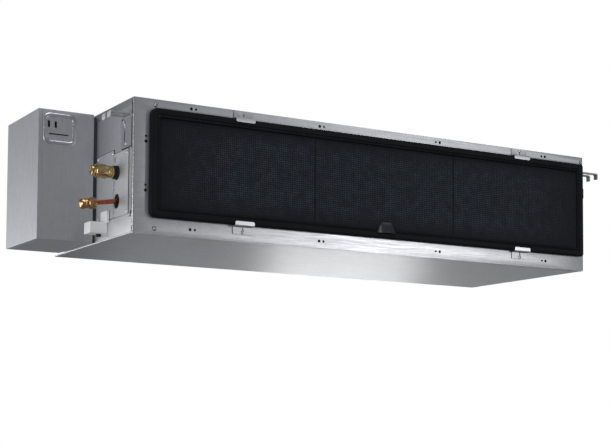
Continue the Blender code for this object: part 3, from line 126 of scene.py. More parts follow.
# Rolling lines as long, wide and deep as one cell of noise: along X on the long panels, and up
# and down on the side pieces. Real ones are finer; these are coarse enough to show.
alongX, upright, evenly = (0.060, 0.0022, 0.0011), (0.0011, 0.0022, 0.050), (0.012, 0.012, 0.012)
caseSteel = sheetSteel("galvanisedSteelSheet", "#b9babd", "#909195", 0.36, alongX)
sideSteel = sheetSteel("galvanisedSteelSide", "#babcc0", "#999ca1", 0.44, upright, 0.68)
# Painted light: the bottom panel's folded-up sides are painted lighter than its floor, as if lit
floorSteel = sheetSteel("galvanisedSteelFloor", "#b9babd", "#909195", 0.36, alongX,
                        paintedLight=("Z", 0.0025, 0.0045, "#e0e1e4"))
# Painted light: the cover plates are given a lighter zinc than the wall round them, standing in for the
# light that falls brighter there
litCoverSteel = sheetSteel("galvanisedCoverPlate", "#d6d8db", "#b8bbbf", 0.42, upright, 0.68)


def zincPlate():
    # Bright electroplated zinc on pressed steel: bluer and smoother than hot-dip zinc, and dulled
    # by handling in spots of about 4 mm
    finish, tree, place = startFinish("zincPlatedSteel", "#d0d3d8", 0.28, 0.88)
    wear = addNode(tree, "TexNoise", {"Vector": place, "Scale": 260.0, "Detail": 3.0})
    share = addNode(tree, "MapRange", {0: wear, 1: 0.35, 2: 0.65})
    uneven = addNode(tree, "MapRange", {0: wear, 1: 0.3, 2: 0.7, 3: 0.24, 4: 0.36})
    return dress(finish, (share, "#d6d9de", "#c3c7cd"), uneven)


def mouldedPlastic(name, colour, worn, roughness, grain, depth, gloss=0.5):
    # Injection-moulded plastic with a spark-eroded grain: a soft sheen broken by fine pits. Real
    # pits are about 0.2 mm wide; they are drawn 1 to 2 mm wide, because finer ones don't show.
    finish, tree, place = startFinish(name, colour, roughness, **{"Specular IOR Level": gloss})
    pits = addNode(tree, "TexNoise", {"Vector": place, "Scale": 1 / grain, "Detail": 2.0})
    cloud = addNode(tree, "TexNoise", {"Vector": place, "Scale": 14.0, "Detail": 3.0})
    share = addNode(tree, "MapRange", {0: cloud, 1: 0.35, 2: 0.7})
    uneven = addNode(tree, "MapRange", {
        0: pits, 1: 0.3, 2: 0.7, 3: roughness - 0.06, 4: roughness + 0.08})
    return dress(finish, (share, colour, worn), uneven, pits, 0.25, depth)


# Painted shade on the net along each axis, darkest by the rim: the middle of the lit part, how far it
# reaches, how wide it fades
netRimShade = {"X": (0.013, 0.535, 0.16), "Z": (0.142, 0.090, 0.035)}


def filterNet():
    # Woven polyester net over a black frame, dyed dark blue. Real threads lie 1 mm apart;
    # here they are drawn 4.4 mm apart, because closer ones vanish at this distance.
    finish, tree, place = startFinish("wovenFilterNet", "#1f242d", 0.72, **{
        "Specular IOR Level": 0.15, "Sheen Weight": 0.15, "Sheen Roughness": 0.5})
    pitch = 0.0044
    waves = {"Vector": place, "Scale": 2 * math.pi / (20 * pitch), "Distortion": 1.9, "Detail": 1.0,
             "Detail Scale": 4.0}
    threads = [addNode(tree, "TexWave", waves, wave_type="BANDS", bands_direction=axis).outputs["Fac"]
               for axis in ("X", "Z")]
    weave = addNode(tree, "Math", dict(enumerate(threads)), operation="MULTIPLY")
    wander = addNode(tree, "TexNoise", {"Vector": place, "Scale": 60.0, "Detail": 2.0})
    uneven = addNode(tree, "MapRange", {0: wander, 1: 0.35, 2: 0.7, 3: 0.5, 4: 1.2})
    weaveAndRimShade = addNode(tree, "Math", {0: weave, 1: uneven}, operation="MULTIPLY")
    # Painted shade: the cloth is darkened towards its rim, where the rim shades it, and kept lighter in
    # the middle
    spots = addNode(tree, "SeparateXYZ", {0: place})
    for axis, (middle, half, fade) in netRimShade.items():
        off = addNode(tree, "Math", {0: spots.outputs[axis], 1: middle}, operation="SUBTRACT")
        off = addNode(tree, "Math", {0: off}, operation="ABSOLUTE")
        share = addNode(tree, "MapRange", {0: off, 1: half - fade, 2: half, 3: 1.0, 4: 0.15})
        weaveAndRimShade = addNode(tree, "Math", {0: weaveAndRimShade, 1: share}, operation="MULTIPLY")
    return dress(finish, (weaveAndRimShade, "#080b10", "#414d5e"), None, weave, 0.5, 0.0006)


def turnedMetal(name, bright, dull, roughness, scale=180.0):
    # Machined or drawn metal: tight highlights, with darker tarnish in patches of 5 to 17 mm
    finish, tree, place = startFinish(name, bright, roughness, 1.0)
    tarnish = addNode(tree, "TexNoise", {"Vector": place, "Scale": scale, "Detail": 4.0})
    share = addNode(tree, "MapRange", {0: tarnish, 1: 0.45, 2: 0.75})
    uneven = addNode(tree, "MapRange", {
        0: tarnish, 1: 0.3, 2: 0.7, 3: roughness - 0.04, 4: roughness + 0.08})
    return dress(finish, (share, bright, dull), uneven)


def finPack():
    # Aluminium fins 1.6 mm apart, drawn 3.2 mm apart so that they show: bright edges in the aluminium's
    # colour, and painted shade in the dark gaps between them
    finish, tree, place = startFinish("aluminiumFins", "#c3c8cc", 0.35, 0.9)
    pitch = 0.0032
    edges = addNode(tree, "TexWave", {"Vector": place, "Scale": 2 * math.pi / (20 * pitch)},
                    wave_type="BANDS", bands_direction="X").outputs["Fac"]
    share = addNode(tree, "MapRange", {0: edges, 1: 0.25, 2: 0.7})
    return dress(finish, (share, "#3b4045", "#c9cdd1"), None, edges, 0.6, 0.001)


def foamSheet():
    # The same black foam also draws the strips of painted shade round the lugs, the plates and the
    # front frame
    # Closed-cell polyethylene foam, matt black with cells of about 1 mm
    finish, tree, place = startFinish("closedCellFoam", "#26282b", 0.92)
    cells = addNode(tree, "TexVoronoi", {"Vector": place, "Scale": 900.0}).outputs["Distance"]
    return dress(finish, (cells, "#1c1e21", "#3a3d41"), None, cells, 0.5, 0.0006)


zinc = zincPlate()
# Drawn or pressed zones are smoother and brighter than the flat sheet round them
pressedSteel = sheetSteel("pressedSteelEdge", "#cfd1d5", "#bfc2c6", 0.24, (0.020, 0.020, 0.020), 0.9)
# Painted highlights: the lugs' turned-down tips and the clips' lips are painted lighter, as if lit,
# while the clips' feet keep the strip's tone
lugSteel = sheetSteel("passivatedLugSteel", "#adafb2", "#8f9194", 0.34, evenly, 0.7,
                      paintedLight=("X", -0.6210, -0.6222, "#fafafb"))
clipSteel = sheetSteel("clipSpringSteel", "#b9babd", "#909195", 0.36, alongX,
                       paintedLight=("Y", -0.2195, -0.2225, "#cdcfd3"))
# ABS is near black with a weak sheen, polypropylene smoother and greyer, glass-filled nylon half
# matt, rubber almost matt and polystyrene a clean white. Board laminate and stoved enamel have
# the same fine grain at half gloss.
blackAbs = mouldedPlastic("blackAbs", "#0c0d0f", "#131417", 0.56, 0.0012, 0.0003, 0.13)
tabPlastic = mouldedPlastic("greyPolypropylene", "#1e1e20", "#28282a", 0.36, 0.0012, 0.0003, 0.5)
blackNylon = mouldedPlastic("blackGlassNylon", "#1d1e20", "#292a2d", 0.5, 0.0015, 0.0003)
whitePolystyrene = mouldedPlastic("whitePolystyrene", "#f3f4f4", "#ebecec", 0.38, 0.0014, 0.0002)
blackRubber = mouldedPlastic("nitrileRubber", "#141517", "#1c1d20", 0.62, 0.0016, 0.0004, 0.25)
boardLaminate = mouldedPlastic("epoxyGlassBoard", "#1f5a37", "#2a6b43", 0.38, 0.0022, 0.0002)
motorEnamel = mouldedPlastic("motorEnamel", "#3a3d42", "#4a4e54", 0.45, 0.0018, 0.0003)
# Forged brass is pale yellow, red brass pinker, drawn copper darker and rougher, and the
# capacitor's drawn aluminium can a plain silver
brass = turnedMetal("forgedBrass", "#d9bd88", "#a88a57", 0.22)
redBrass = turnedMetal("redBrass", "#cfa67a", "#9a744d", 0.24)
copper = turnedMetal("drawnCopper", "#b5654a", "#7d4030", 0.3, 90.0)
canAluminium = turnedMetal("drawnAluminium", "#cfd2d5", "#b4b8bc", 0.32, 60.0)
net = filterNet()
fins = finPack()
foam = foamSheet()
print("materials made")

# Which CAD nodes keep their own shape, with the finish and the edge rounding each one gets,
# and whether its curved faces are shaded smooth
caseFinishes = (
    (caseSteel, 0.0004, False, ("top_panel", "discharge_panel", "discharge_collar")),
    (sideSteel, 0.0004, False, ("left_side_panel", "right_side_panel", "control_box_cover",
                                "motor_cradle", "control_box_bracket", "coil_end_plate_left",
                                "coil_end_plate_right")),
    (caseSteel, 0.0, True, ("blower_housing_left", "blower_housing_right")),
    (zinc, 0.0006, False, ("motor_strap",)),
    (zinc, 0.0, True, ("motor_shaft",)),
    (blackNylon, 0.0, False, ("blower_wheel_left", "blower_wheel_right")),
    (blackNylon, 0.0, True, ("cable_gland",)),
    (whitePolystyrene, 0.0008, False, ("drain_pan", "terminal_block")),
    (brass, 0.0, True, ("liquid_distributor",)),
    (copper, 0.0, True, ("gas_pipe", "liquid_pipe", "gas_header", "coil_tubes_front",
                         "coil_tubes_rear")),
    (fins, 0.0, False, ("evaporator_fins",)),
    (foam, 0.0, False, ("top_insulation",)),
    (motorEnamel, 0.0005, True, ("fan_motor",)),
    (motorEnamel, 0.0005, False, ("transformer",)),
    (boardLaminate, 0.0004, False, ("control_board",)),
    (canAluminium, 0.0, True, ("run_capacitor",)),
)


def roundEdges(piece, width, segments):
    soften = piece.modifiers.new("soften", "BEVEL")
    soften.width, soften.segments = width, segments
    soften.limit_method = "ANGLE"
    soften.angle_limit = math.radians(50)
    return soften


for finish, rounding, smooth, names in caseFinishes:
    for name in names:
        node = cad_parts[name]
        node.data.materials.clear()
        node.data.materials.append(finish)
        if smooth:
            node.data.shade_smooth()
            node.data.set_sharp_from_angle(angle=math.radians(40))
        if rounding:
            weld = node.modifiers.new("weld", "WELD")
            weld.merge_threshold = 0.00001
            roundEdges(node, rounding, 2)
print("case dressed")

# Shapes

def finishPiece(name, shape, finish, stands=(), body="casing", smooth=35, rounding=0.0):
    # Turns a shape into a piece that rides on a body and stands for the given nodes of the frame
    bmesh.ops.remove_doubles(shape, verts=shape.verts, dist=0.000002)
    bmesh.ops.recalc_face_normals(shape, faces=shape.faces)
    mesh = bpy.data.meshes.new(name)
    shape.to_mesh(mesh)
    shape.free()
    mesh.shade_smooth()
    mesh.set_sharp_from_angle(angle=math.radians(smooth))
    mesh.materials.append(finish)
    piece = bpy.data.objects.new(name, mesh)
    bpy.context.scene.collection.objects.link(piece)
    if rounding:
        roundEdges(piece, rounding, 3).harden_normals = True
    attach(piece, body)
    if stands:
        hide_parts(*stands)
    return piece


def seated(seat, direction):
    return Matrix.Translation(seat) @ Vector(direction).to_track_quat("Z", "Y").to_matrix().to_4x4()


def roundCorners(points, steps=6):
    # A closed outline from corners given as (across, up, radius)
    outline = []
    for i, (a, b, radius) in enumerate(points):
        corner = Vector((a, b))
        before = (Vector(points[i - 1][:2]) - corner).normalized()
        after = (Vector(points[(i + 1) % len(points)][:2]) - corner).normalized()
        half = before.angle(after) / 2
        if radius == 0:
            outline.append(tuple(corner))
            continue
        centre = corner + (before + after).normalized() * radius / math.sin(half)
        start = corner + before * radius / math.tan(half) - centre
        sweep = (corner + after * radius / math.tan(half) - centre).angle_signed(start)
        for k in range(steps + 1):
            turn = Matrix.Rotation(sweep * k / steps, 2)
            outline.append(tuple(centre + turn @ start))
    return outline


def rectangle(low, high, radius):
    (left, foot), (right, top) = low, high
    return [(x, z, radius) for x, z in ((left, foot), (right, foot), (right, top), (left, top))]


def circleOutline(centre, radius, steps=20):
    return [(centre[0] + radius * math.cos(2 * math.pi * i / steps),
             centre[1] + radius * math.sin(2 * math.pi * i / steps)) for i in range(steps)]


def cutBlank(outlines, thickness, foldLines=()):
    # A flat plate cut from sheet: the first outline is its edge, the others are holes
    curve = bpy.data.curves.new("blank", "CURVE")
    curve.dimensions = "2D"
    curve.fill_mode = "BOTH"
    curve.extrude = thickness / 2 * 1000  # filled in millimetres, as tiny outlines fill badly
    for outline in outlines:
        spline = curve.splines.new("POLY")
        spline.points.add(len(outline) - 1)
        for point, (a, b) in zip(spline.points, outline):
            point.co = (a * 1000, b * 1000, 0, 1)
        spline.use_cyclic_u = True
    holder = bpy.data.objects.new("blank", curve)
    bpy.context.scene.collection.objects.link(holder)
    bpy.context.view_layer.update()
    mesh = bpy.data.meshes.new_from_object(holder.evaluated_get(bpy.context.evaluated_depsgraph_get()))
    bpy.data.objects.remove(holder)
    shape = bmesh.new()
    shape.from_mesh(mesh)
    bpy.data.meshes.remove(mesh)
    bmesh.ops.scale(shape, verts=shape.verts, vec=(0.001, 0.001, 0.001))
    bmesh.ops.remove_doubles(shape, verts=shape.verts, dist=0.000002)
    for line in foldLines:
        everything = shape.verts[:] + shape.edges[:] + shape.faces[:]
        bmesh.ops.bisect_plane(shape, geom=everything, plane_co=(line, 0, 0), plane_no=(1, 0, 0),
                               dist=0.000001)
    return shape


def foldLinesOf(folds, steps=6):
    lines = []
    for start, radius, angle in folds:
        lines += [start + abs(angle) * radius * k / steps for k in range(steps + 1)]
    return lines


def foldedPoint(along, offset, folds):
    # Where a point of the flat blank lies in the side view once each fold is made
    spot, heading, reached = Vector((0, 0)), 0.0, 0.0

    def ahead(angle):
        return Vector((math.cos(angle), math.sin(angle)))

    def beside(angle):
        return Vector((-math.sin(angle), math.cos(angle)))
    for start, radius, angle in folds:
        if along <= start:
            break
        spot += ahead(heading) * (start - reached)
        length = abs(angle) * radius
        share = min((along - start) / length, 1)
        side = math.copysign(radius, angle)
        centre = spot + beside(heading) * side
        heading += angle * share
        spot = centre - beside(heading) * side
        reached = start + length * share
    return spot + ahead(heading) * (along - reached) + beside(heading) * offset


def foldBlank(outlines, thickness, folds, place):
    # Cuts a blank and folds it; place says where a point lies that is so far across the folds,
    # so far on in the side view and so far beside it
    shape = cutBlank(outlines, thickness, foldLinesOf(folds))
    for vert in shape.verts:
        vert.co = place(vert.co.y, *foldedPoint(vert.co.x, vert.co.z, folds))
    return shape


def joinRows(shape, rows, around=True, closed=False):
    # Faces from each row of points to the next, around the rows and back to the first where asked
    for k, row in enumerate(rows if closed else rows[:-1]):
        following = rows[(k + 1) % len(rows)]
        for i in range(len(row) if around else len(row) - 1):
            j = (i + 1) % len(row)
            shape.faces.new((row[i], row[j], following[j], following[i]))


def aroundAxis(place, radius, turn, distance):
    return place @ Vector((radius * math.cos(turn), radius * math.sin(turn), distance))


def addTurned(shape, profile, place, steps):
    # A profile of (radius, distance) turned round the axis of a seat
    rings = []
    for radius, distance in profile:
        turns = [2 * math.pi * i / steps for i in range(steps if radius else 1)]
        rings.append([shape.verts.new(aroundAxis(place, radius, turn, distance)) for turn in turns])
    for ring, following in zip(rings, rings[1:]):
        for i in range(steps):
            j = (i + 1) % steps
            corners = [ring[i % len(ring)], ring[j % len(ring)], following[j % len(following)],
                       following[i % len(following)]]
            shape.faces.new(list(dict.fromkeys(corners)))


def makeTurned(name, profile, seat, finish, steps=56, **settings):
    shape = bmesh.new()
    addTurned(shape, profile, seated(*seat), steps)
    finishPiece(name, shape, finish, **settings)


def addNut(shape, place, flats, length, bore, chamfer, steps=72):
    # A hexagon whose corners are turned off at both ends
    stations = ((bore, 0), (0.94, 0), (1.02, chamfer * 0.35), (1.2, chamfer), (1.2, length - chamfer),
                (1.02, length - chamfer * 0.35), (0.94, length), (bore, length), (bore, 0))
    rings = []
    for limit, distance in stations:
        ring = []
        for i in range(steps):
            turn = 2 * math.pi * i / steps
            hexagon = flats / 2 / math.cos((turn + math.pi / 6) % (math.pi / 3) - math.pi / 6)
            radius = limit if limit == bore else min(hexagon, limit * flats / 2)
            ring.append(shape.verts.new(aroundAxis(place, radius, turn, distance)))
        rings.append(ring)
    joinRows(shape, rings)


def addSwept(shape, section, corners, steps=10, rightShare=1.0, facesLeft=False):
    # Carries a section of (inset, depth, corner radius) round a rectangle that faces the front
    # or the left. The right-hand corners get the given share of the radius.
    (left, low), (right, high) = corners
    loops = []
    for inset, depth, radius in section:
        inner = rectangle((left + inset, low + inset), (right - inset, high - inset), 0)
        turns = [(x, z, radius * rightShare if x > (left + right) / 2 else radius) for x, z, _ in inner]
        loops.append([shape.verts.new((depth, x, z) if facesLeft else (x, depth, z))
                      for x, z in roundCorners(turns, steps)])
    joinRows(shape, loops, closed=True)


def carve(piece, cutter):
    # Cuts one piece by another shape, then drops the cutter
    guide = bpy.data.objects.new("cutter", bpy.data.meshes.new("cutter"))
    bmesh.ops.recalc_face_normals(cutter, faces=cutter.faces)
    cutter.to_mesh(guide.data)
    cutter.free()
    bpy.context.scene.collection.objects.link(guide)
    cut = piece.modifiers.new("cut", "BOOLEAN")
    cut.operation = "DIFFERENCE"
    cut.solver = "EXACT"
    cut.object = guide
    bpy.context.view_layer.update()
    mesh = bpy.data.meshes.new_from_object(piece.evaluated_get(bpy.context.evaluated_depsgraph_get()))
    piece.modifiers.remove(cut)
    old = piece.data
    piece.data = mesh
    bpy.data.meshes.remove(old)
    bpy.data.objects.remove(guide)


def addBox(shape, low, high):
    corners = [shape.verts.new((x, y, z)) for x in (low[0], high[0]) for y in (low[1], high[1])
               for z in (low[2], high[2])]
    for face in ((0, 1, 3, 2), (4, 6, 7, 5), (0, 4, 5, 1), (2, 3, 7, 6), (0, 2, 6, 4), (1, 5, 7, 3)):
        shape.faces.new([corners[i] for i in face])


def makeBoxes(name, boxes, finish, **settings):
    shape = bmesh.new()
    for low, high in boxes:
        addBox(shape, low, high)
    finishPiece(name, shape, finish, **settings)


def makeRings(name, rings, finish):
    # Small rings round screws and holes, each with its profile and its seat on the front
    shape = bmesh.new()
    for profile, seat in rings:
        addTurned(shape, profile, seated(seat, (0, -1, 0)), 24)
    finishPiece(name, shape, finish, smooth=50)


# Screws: pan heads with a cross recess, one master shape copied to every seat
screwHead = {"radius": 0.0036, "height": 0.0021, "recess": 0.0042, "blade": 0.0009, "depth": 0.0012,
             # how far and how wide it is sunk into the sheet
             "sunk": 0.0002, "neck": 0.6,
             # shares of the radius and of the height, from the rim to the crown
             "crown": ((1, 0), (1, 0.3), (0.93, 0.62), (0.72, 0.88), (0.4, 1), (0, 1))}


def makeScrewMaster(values):
    radius, height = values["radius"], values["height"]
    shape = bmesh.new()
    profile = [(0, -values["sunk"]), (radius * values["neck"], -values["sunk"])]
    profile += [(radius * wide, height * high) for wide, high in values["crown"]]
    addTurned(shape, profile, Matrix.Identity(4), 28)
    bmesh.ops.recalc_face_normals(shape, faces=shape.faces)
    master = bpy.data.objects.new("screwMaster", bpy.data.meshes.new("screwMaster"))
    shape.to_mesh(master.data)
    shape.free()
    bpy.context.scene.collection.objects.link(master)
    half, blade = values["recess"] / 2, values["blade"] / 2
    for a, b in ((half, blade), (blade, half)):
        cutter = bmesh.new()
        addBox(cutter, (-a, -b, height - values["depth"]), (a, b, height + 0.001))
        carve(master, cutter)
    mesh = master.data.copy()
    bpy.data.objects.remove(master)
    return mesh


screwMesh = makeScrewMaster(screwHead)


def makeScrews(name, seats, stands=()):
    shape = bmesh.new()
    for seat, direction in seats:
        before = len(shape.verts)
        shape.from_mesh(screwMesh)
        shape.verts.ensure_lookup_table()
        turn = Matrix.Rotation(0.6 + 1.7 * seat[0] * 10, 4, "Z")  # no two recesses stand alike
        bmesh.ops.transform(shape, matrix=seated(seat, direction) @ turn, verts=shape.verts[before:])
    finishPiece(name, shape, zinc, stands, smooth=40)


# Filter: a moulded rim with a groove round its inner edge, a net, two ribs and a side grip
filterRim = {
    "left": -0.541, "right": 0.567, "low": 0.033, "high": 0.251,
    "rightShare": 0.4,  # the right-hand corners are squarer
    # inset, depth and corner radius, from the back over the front and down into the groove
    "section": ((0.0000, -0.2156, 0.0140), (0.0000, -0.2238, 0.0140), (0.0005, -0.2256, 0.0140),
                (0.0020, -0.2268, 0.0130), (0.0042, -0.2270, 0.0110), (0.0108, -0.2270, 0.0060),
                (0.0122, -0.2267, 0.0055), (0.0131, -0.2258, 0.0050), (0.0140, -0.2256, 0.0050),
                (0.0148, -0.2262, 0.0045), (0.0160, -0.2267, 0.0045), (0.0176, -0.2267, 0.0040),
                (0.0186, -0.2258, 0.0035), (0.0190, -0.2240, 0.0035), (0.0190, -0.2156, 0.0035)),
    # height of each row of the grip and its share of the reach
    "gripRows": ((0.1690, 0.15), (0.1710, 0.8), (0.1750, 1), (0.1825, 0.92), (0.1900, 1), (0.1940, 0.8),
                 (0.1960, 0.15)),
    "gripReach": 0.0035, "gripRoot": 0.002, "gripChamfer": 0.0012,
    "gripDepths": (-0.2240, -0.2228, -0.2182, -0.2170),
    "ribInset": 0.019,
    # half width, front, back and inset from the rim, for the web and the front strip of a rib
    "ribParts": ((0.002, -0.2219, -0.2165, 0.0170), (0.001, -0.2235, -0.2215, 0.0185)),
}


def makeFilterRim(values):
    low, high = values["low"], values["high"]
    shape = bmesh.new()
    addSwept(shape, values["section"], ((values["left"], low), (values["right"], high)),
             rightShare=values["rightShare"])
    finishPiece("filterRim", shape, blackAbs, ("filter_frame",), "filter")
    grip = bmesh.new()
    root, chamfer = values["right"] - values["gripRoot"], values["gripChamfer"]
    front, near, far, back = values["gripDepths"]
    rows = []
    for z, swell in values["gripRows"]:
        out = values["right"] + values["gripReach"] * swell
        side = ((root, front), (out - chamfer, front), (out, near), (out, far), (out - chamfer, back),
                (root, back))
        rows.append([grip.verts.new((x, y, z)) for x, y in side])
    joinRows(grip, rows)
    grip.faces.new(rows[0])
    grip.faces.new(rows[-1])
    finishPiece("filterGrip", grip, blackAbs, body="filter", smooth=50)
    ribs = bmesh.new()
    left, right = values["left"] + values["ribInset"], values["right"] - values["ribInset"]
    for share in (1, 2):
        middle = left + (right - left) * share / 3
        for half, front, back, inset in values["ribParts"]:
            addBox(ribs, (middle - half, front, low + inset), (middle + half, back, high - inset))
    finishPiece("filterRibs", ribs, blackAbs, body="filter", rounding=0.0004)


netCloth = {"left": -0.5217, "right": 0.5477, "low": 0.0523, "high": 0.2317, "depth": -0.2231,
            "sag": 0.0005, "ripple": 0.00006, "columns": 210, "rows": 34}


def makeNet(values):
    # The net is welded to the rim and the two ribs, and sinks a little between them
    width, height = values["right"] - values["left"], values["high"] - values["low"]
    shape = bmesh.new()
    grid = []
    for j in range(values["rows"] + 1):
        row = []
        for i in range(values["columns"] + 1):
            a, b = i / values["columns"], j / values["rows"]
            hollow = abs(math.sin(3 * math.pi * a)) ** 0.5 * math.sin(math.pi * b) ** 0.5
            ripple = values["ripple"] * math.sin(41 * a + 9 * b) * math.sin(13 * b + 5)
            depth = values["depth"] + values["sag"] * hollow + ripple
            row.append(shape.verts.new((values["left"] + width * a, depth, values["low"] + height * b)))
        grid.append(row)
    joinRows(shape, grid, around=False)
    cloth = finishPiece("filterNet", shape, net, ("filter_mesh",), "filter", smooth=80)


pullTab = {"middle": 0.0115, "low": 0.0432, "high": 0.0667, "lowHalf": 0.0245, "highHalf": 0.0130,
           "seat": -0.2273, "reach": 0.0078, "upperShare": 0.12, "wall": 0.0014}


def makePullTab(values):
    # A scoop to pull the filter by: it curls out towards its lower lip and is open below
    shape = bmesh.new()
    columns, rows = 16, 10
    sides = []
    for wall in (0, values["wall"]):
        grid = []
        for j in range(rows + 1):
            share = j / rows
            half = (values["highHalf"] + (values["lowHalf"] - values["highHalf"]) * share) - wall * 0.8
            z = values["high"] - (values["high"] - values["low"]) * share - wall * (1 - share)
            curl = values["reach"] * (values["upperShare"] + (1 - values["upperShare"]) * share ** 1.6)
            row = []
            for i in range(columns + 1):
                a = -1 + 2 * i / columns
                out = max(curl * (1 - abs(a) ** 4) ** 0.5 - wall, 0)
                row.append(shape.verts.new((values["middle"] + half * a, values["seat"] - out, z)))
            grid.append(row)
        sides.append(grid)
    outer, inner = sides
    for grid in sides:
        joinRows(shape, grid, around=False)
    for row in (0, rows):
        for i in range(columns):
            shape.faces.new((outer[row][i], outer[row][i + 1], inner[row][i + 1], inner[row][i]))
    for i in (0, columns):
        for j in range(rows):
            shape.faces.new((outer[j][i], outer[j + 1][i], inner[j + 1][i], inner[j][i]))
    finishPiece("pullTab", shape, tabPlastic, ("filter_pull_tab",), "filter", smooth=60)


makeFilterRim(filterRim)
makeNet(netCloth)
makePullTab(pullTab)
print("filter made")

# Clips: folded from one strip, with a slotted foot under a screw and a lip over the filter
clipStrip = {
    "places": (("left", -0.333), ("right", 0.383)),
    "edges": (("top", 0.251, 1), ("bottom", 0.033, -1)),
    "width": 0.044, "sheet": 0.0015, "foot": 0.018, "riser": 0.00175, "lap": 0.0072,
    "footDepth": -0.21605, "lipDepth": -0.22805, "fold": 0.0017,
    "slot": (0.0018, 0.0139, 0.0023), "corners": (0.002, 0.0032),
    "screw": 0.0139, "screwDepth": -0.2168,
}


def makeClips(values):
    fold, quarter = values["fold"], math.pi / 2
    rise = values["footDepth"] - values["lipDepth"]
    first = values["foot"] - values["riser"] - fold
    second = first + fold * quarter + rise - 2 * fold
    folds = ((first, fold, quarter), (second, fold, -quarter))
    length = second + fold * quarter + values["lap"] + values["riser"] - fold
    half = values["width"] / 2
    foot, lip = values["corners"]
    outline = roundCorners((
        (0, -half, foot), (length, -half, lip), (length, half, lip), (0, half, foot)))
    start, end, radius = values["slot"]
    # Just under half circles at the slot's ends, as no side may have a length of zero
    slot = roundCorners(rectangle((start, -radius), (end, radius), radius * 0.98), 5)
    for side, middle in values["places"]:
        for level, edge, out in values["edges"]:
            shape = foldBlank([outline, slot], values["sheet"], folds, lambda across, inward, proud: (
                middle + across, values["footDepth"] - proud, edge + out * (values["foot"] - inward)))
            name = f"clip_{level}_{side}"
            finishPiece(name, shape, clipSteel, ("filter_" + name,), name, rounding=0.0003)


makeClips(clipStrip)
clipSeats = [((middle, clipStrip["screwDepth"], edge + out * clipStrip["screw"]), (0, -1, 0))
             for _, middle in clipStrip["places"] for _, edge, out in clipStrip["edges"]]
makeScrews("clipScrews", clipSeats, ("clip_screw_top_left", "clip_screw_bottom_left",
                                     "clip_screw_top_right", "clip_screw_bottom_right"))

# Screws in the face's corners, each on a black ring of painted shade, and guessed ones on the back and
# the sides
caseScrews = {
    "face": -0.215, "corners": ((-0.528, 0.258), (-0.528, 0.012), (0.569, 0.258)),
    "back": 0.215, "columns": (-0.562, -0.190, 0.190, 0.562), "levels": (0.008, 0.262),
    "side": 0.575, "sideDepths": (-0.2035, 0.195), "sideLevel": 0.032,
    "shadeRing": ((0.0030, -0.0002), (0.0030, 0.0005), (0.0043, 0.0005), (0.0046, 0.0002),
               (0.0046, -0.0002)),
}


def makeCaseScrews(values):
    corners = [(x, values["face"], z) for x, z in values["corners"]]
    others = [((x, values["back"], z), (0, 1, 0)) for x in values["columns"] for z in values["levels"]]
    others += [((out * values["side"], y, values["sideLevel"]), (out, 0, 0))
               for out in (-1, 1) for y in values["sideDepths"]]
    makeScrews("cornerScrews", [(seat, (0, -1, 0)) for seat in corners])
    makeScrews("panelScrews", others)
    makeRings("cornerScrewShade", [(values["shadeRing"], seat) for seat in corners], blackRubber)


makeCaseScrews(caseScrews)
print("clips made")

# Hanger lugs: a leg screwed to the wall, folded out to a forked shelf with turned-down tips
hangerLug = {
    "sheet": 0.0025, "fold": 0.0034, "legFoot": 0.174, "shelf": 0.23625, "legDepth": 0.57475,
    "tipDepth": 0.62375, "tipEnd": 0.2235, "legStart": 0.005, "legEnd": 0.055, "shelfWidth": 0.038,
    "slot": (0.0115, 0.0265), "slotRoot": 0.586, "slotCorner": 0.0072, "edge": 0.212,
    "tipCorner": 0.0025, "legCorner": 0.004,
    # how far below its fold the leg narrows to the shelf's width, and over what length
    "shoulder": 0.002, "slope": 0.004,
    "screws": ((0.040, 0.222), (0.030, 0.182)), "screwHole": 0.0023, "face": 0.576,
    "rib": (0.0365, 0.0405, 0.187, 0.208), "ribCorner": 0.0018,
    "ring": ((0.0056, -0.0004), (0.0060, 0.0005), (0.0067, 0.0009), (0.0074, 0.0005),
             (0.0078, -0.0004)),
    "shadeStrip": (0.57350, 0.57515), "shadeReach": 0.0010, "shadeTop": 0.23425,
}


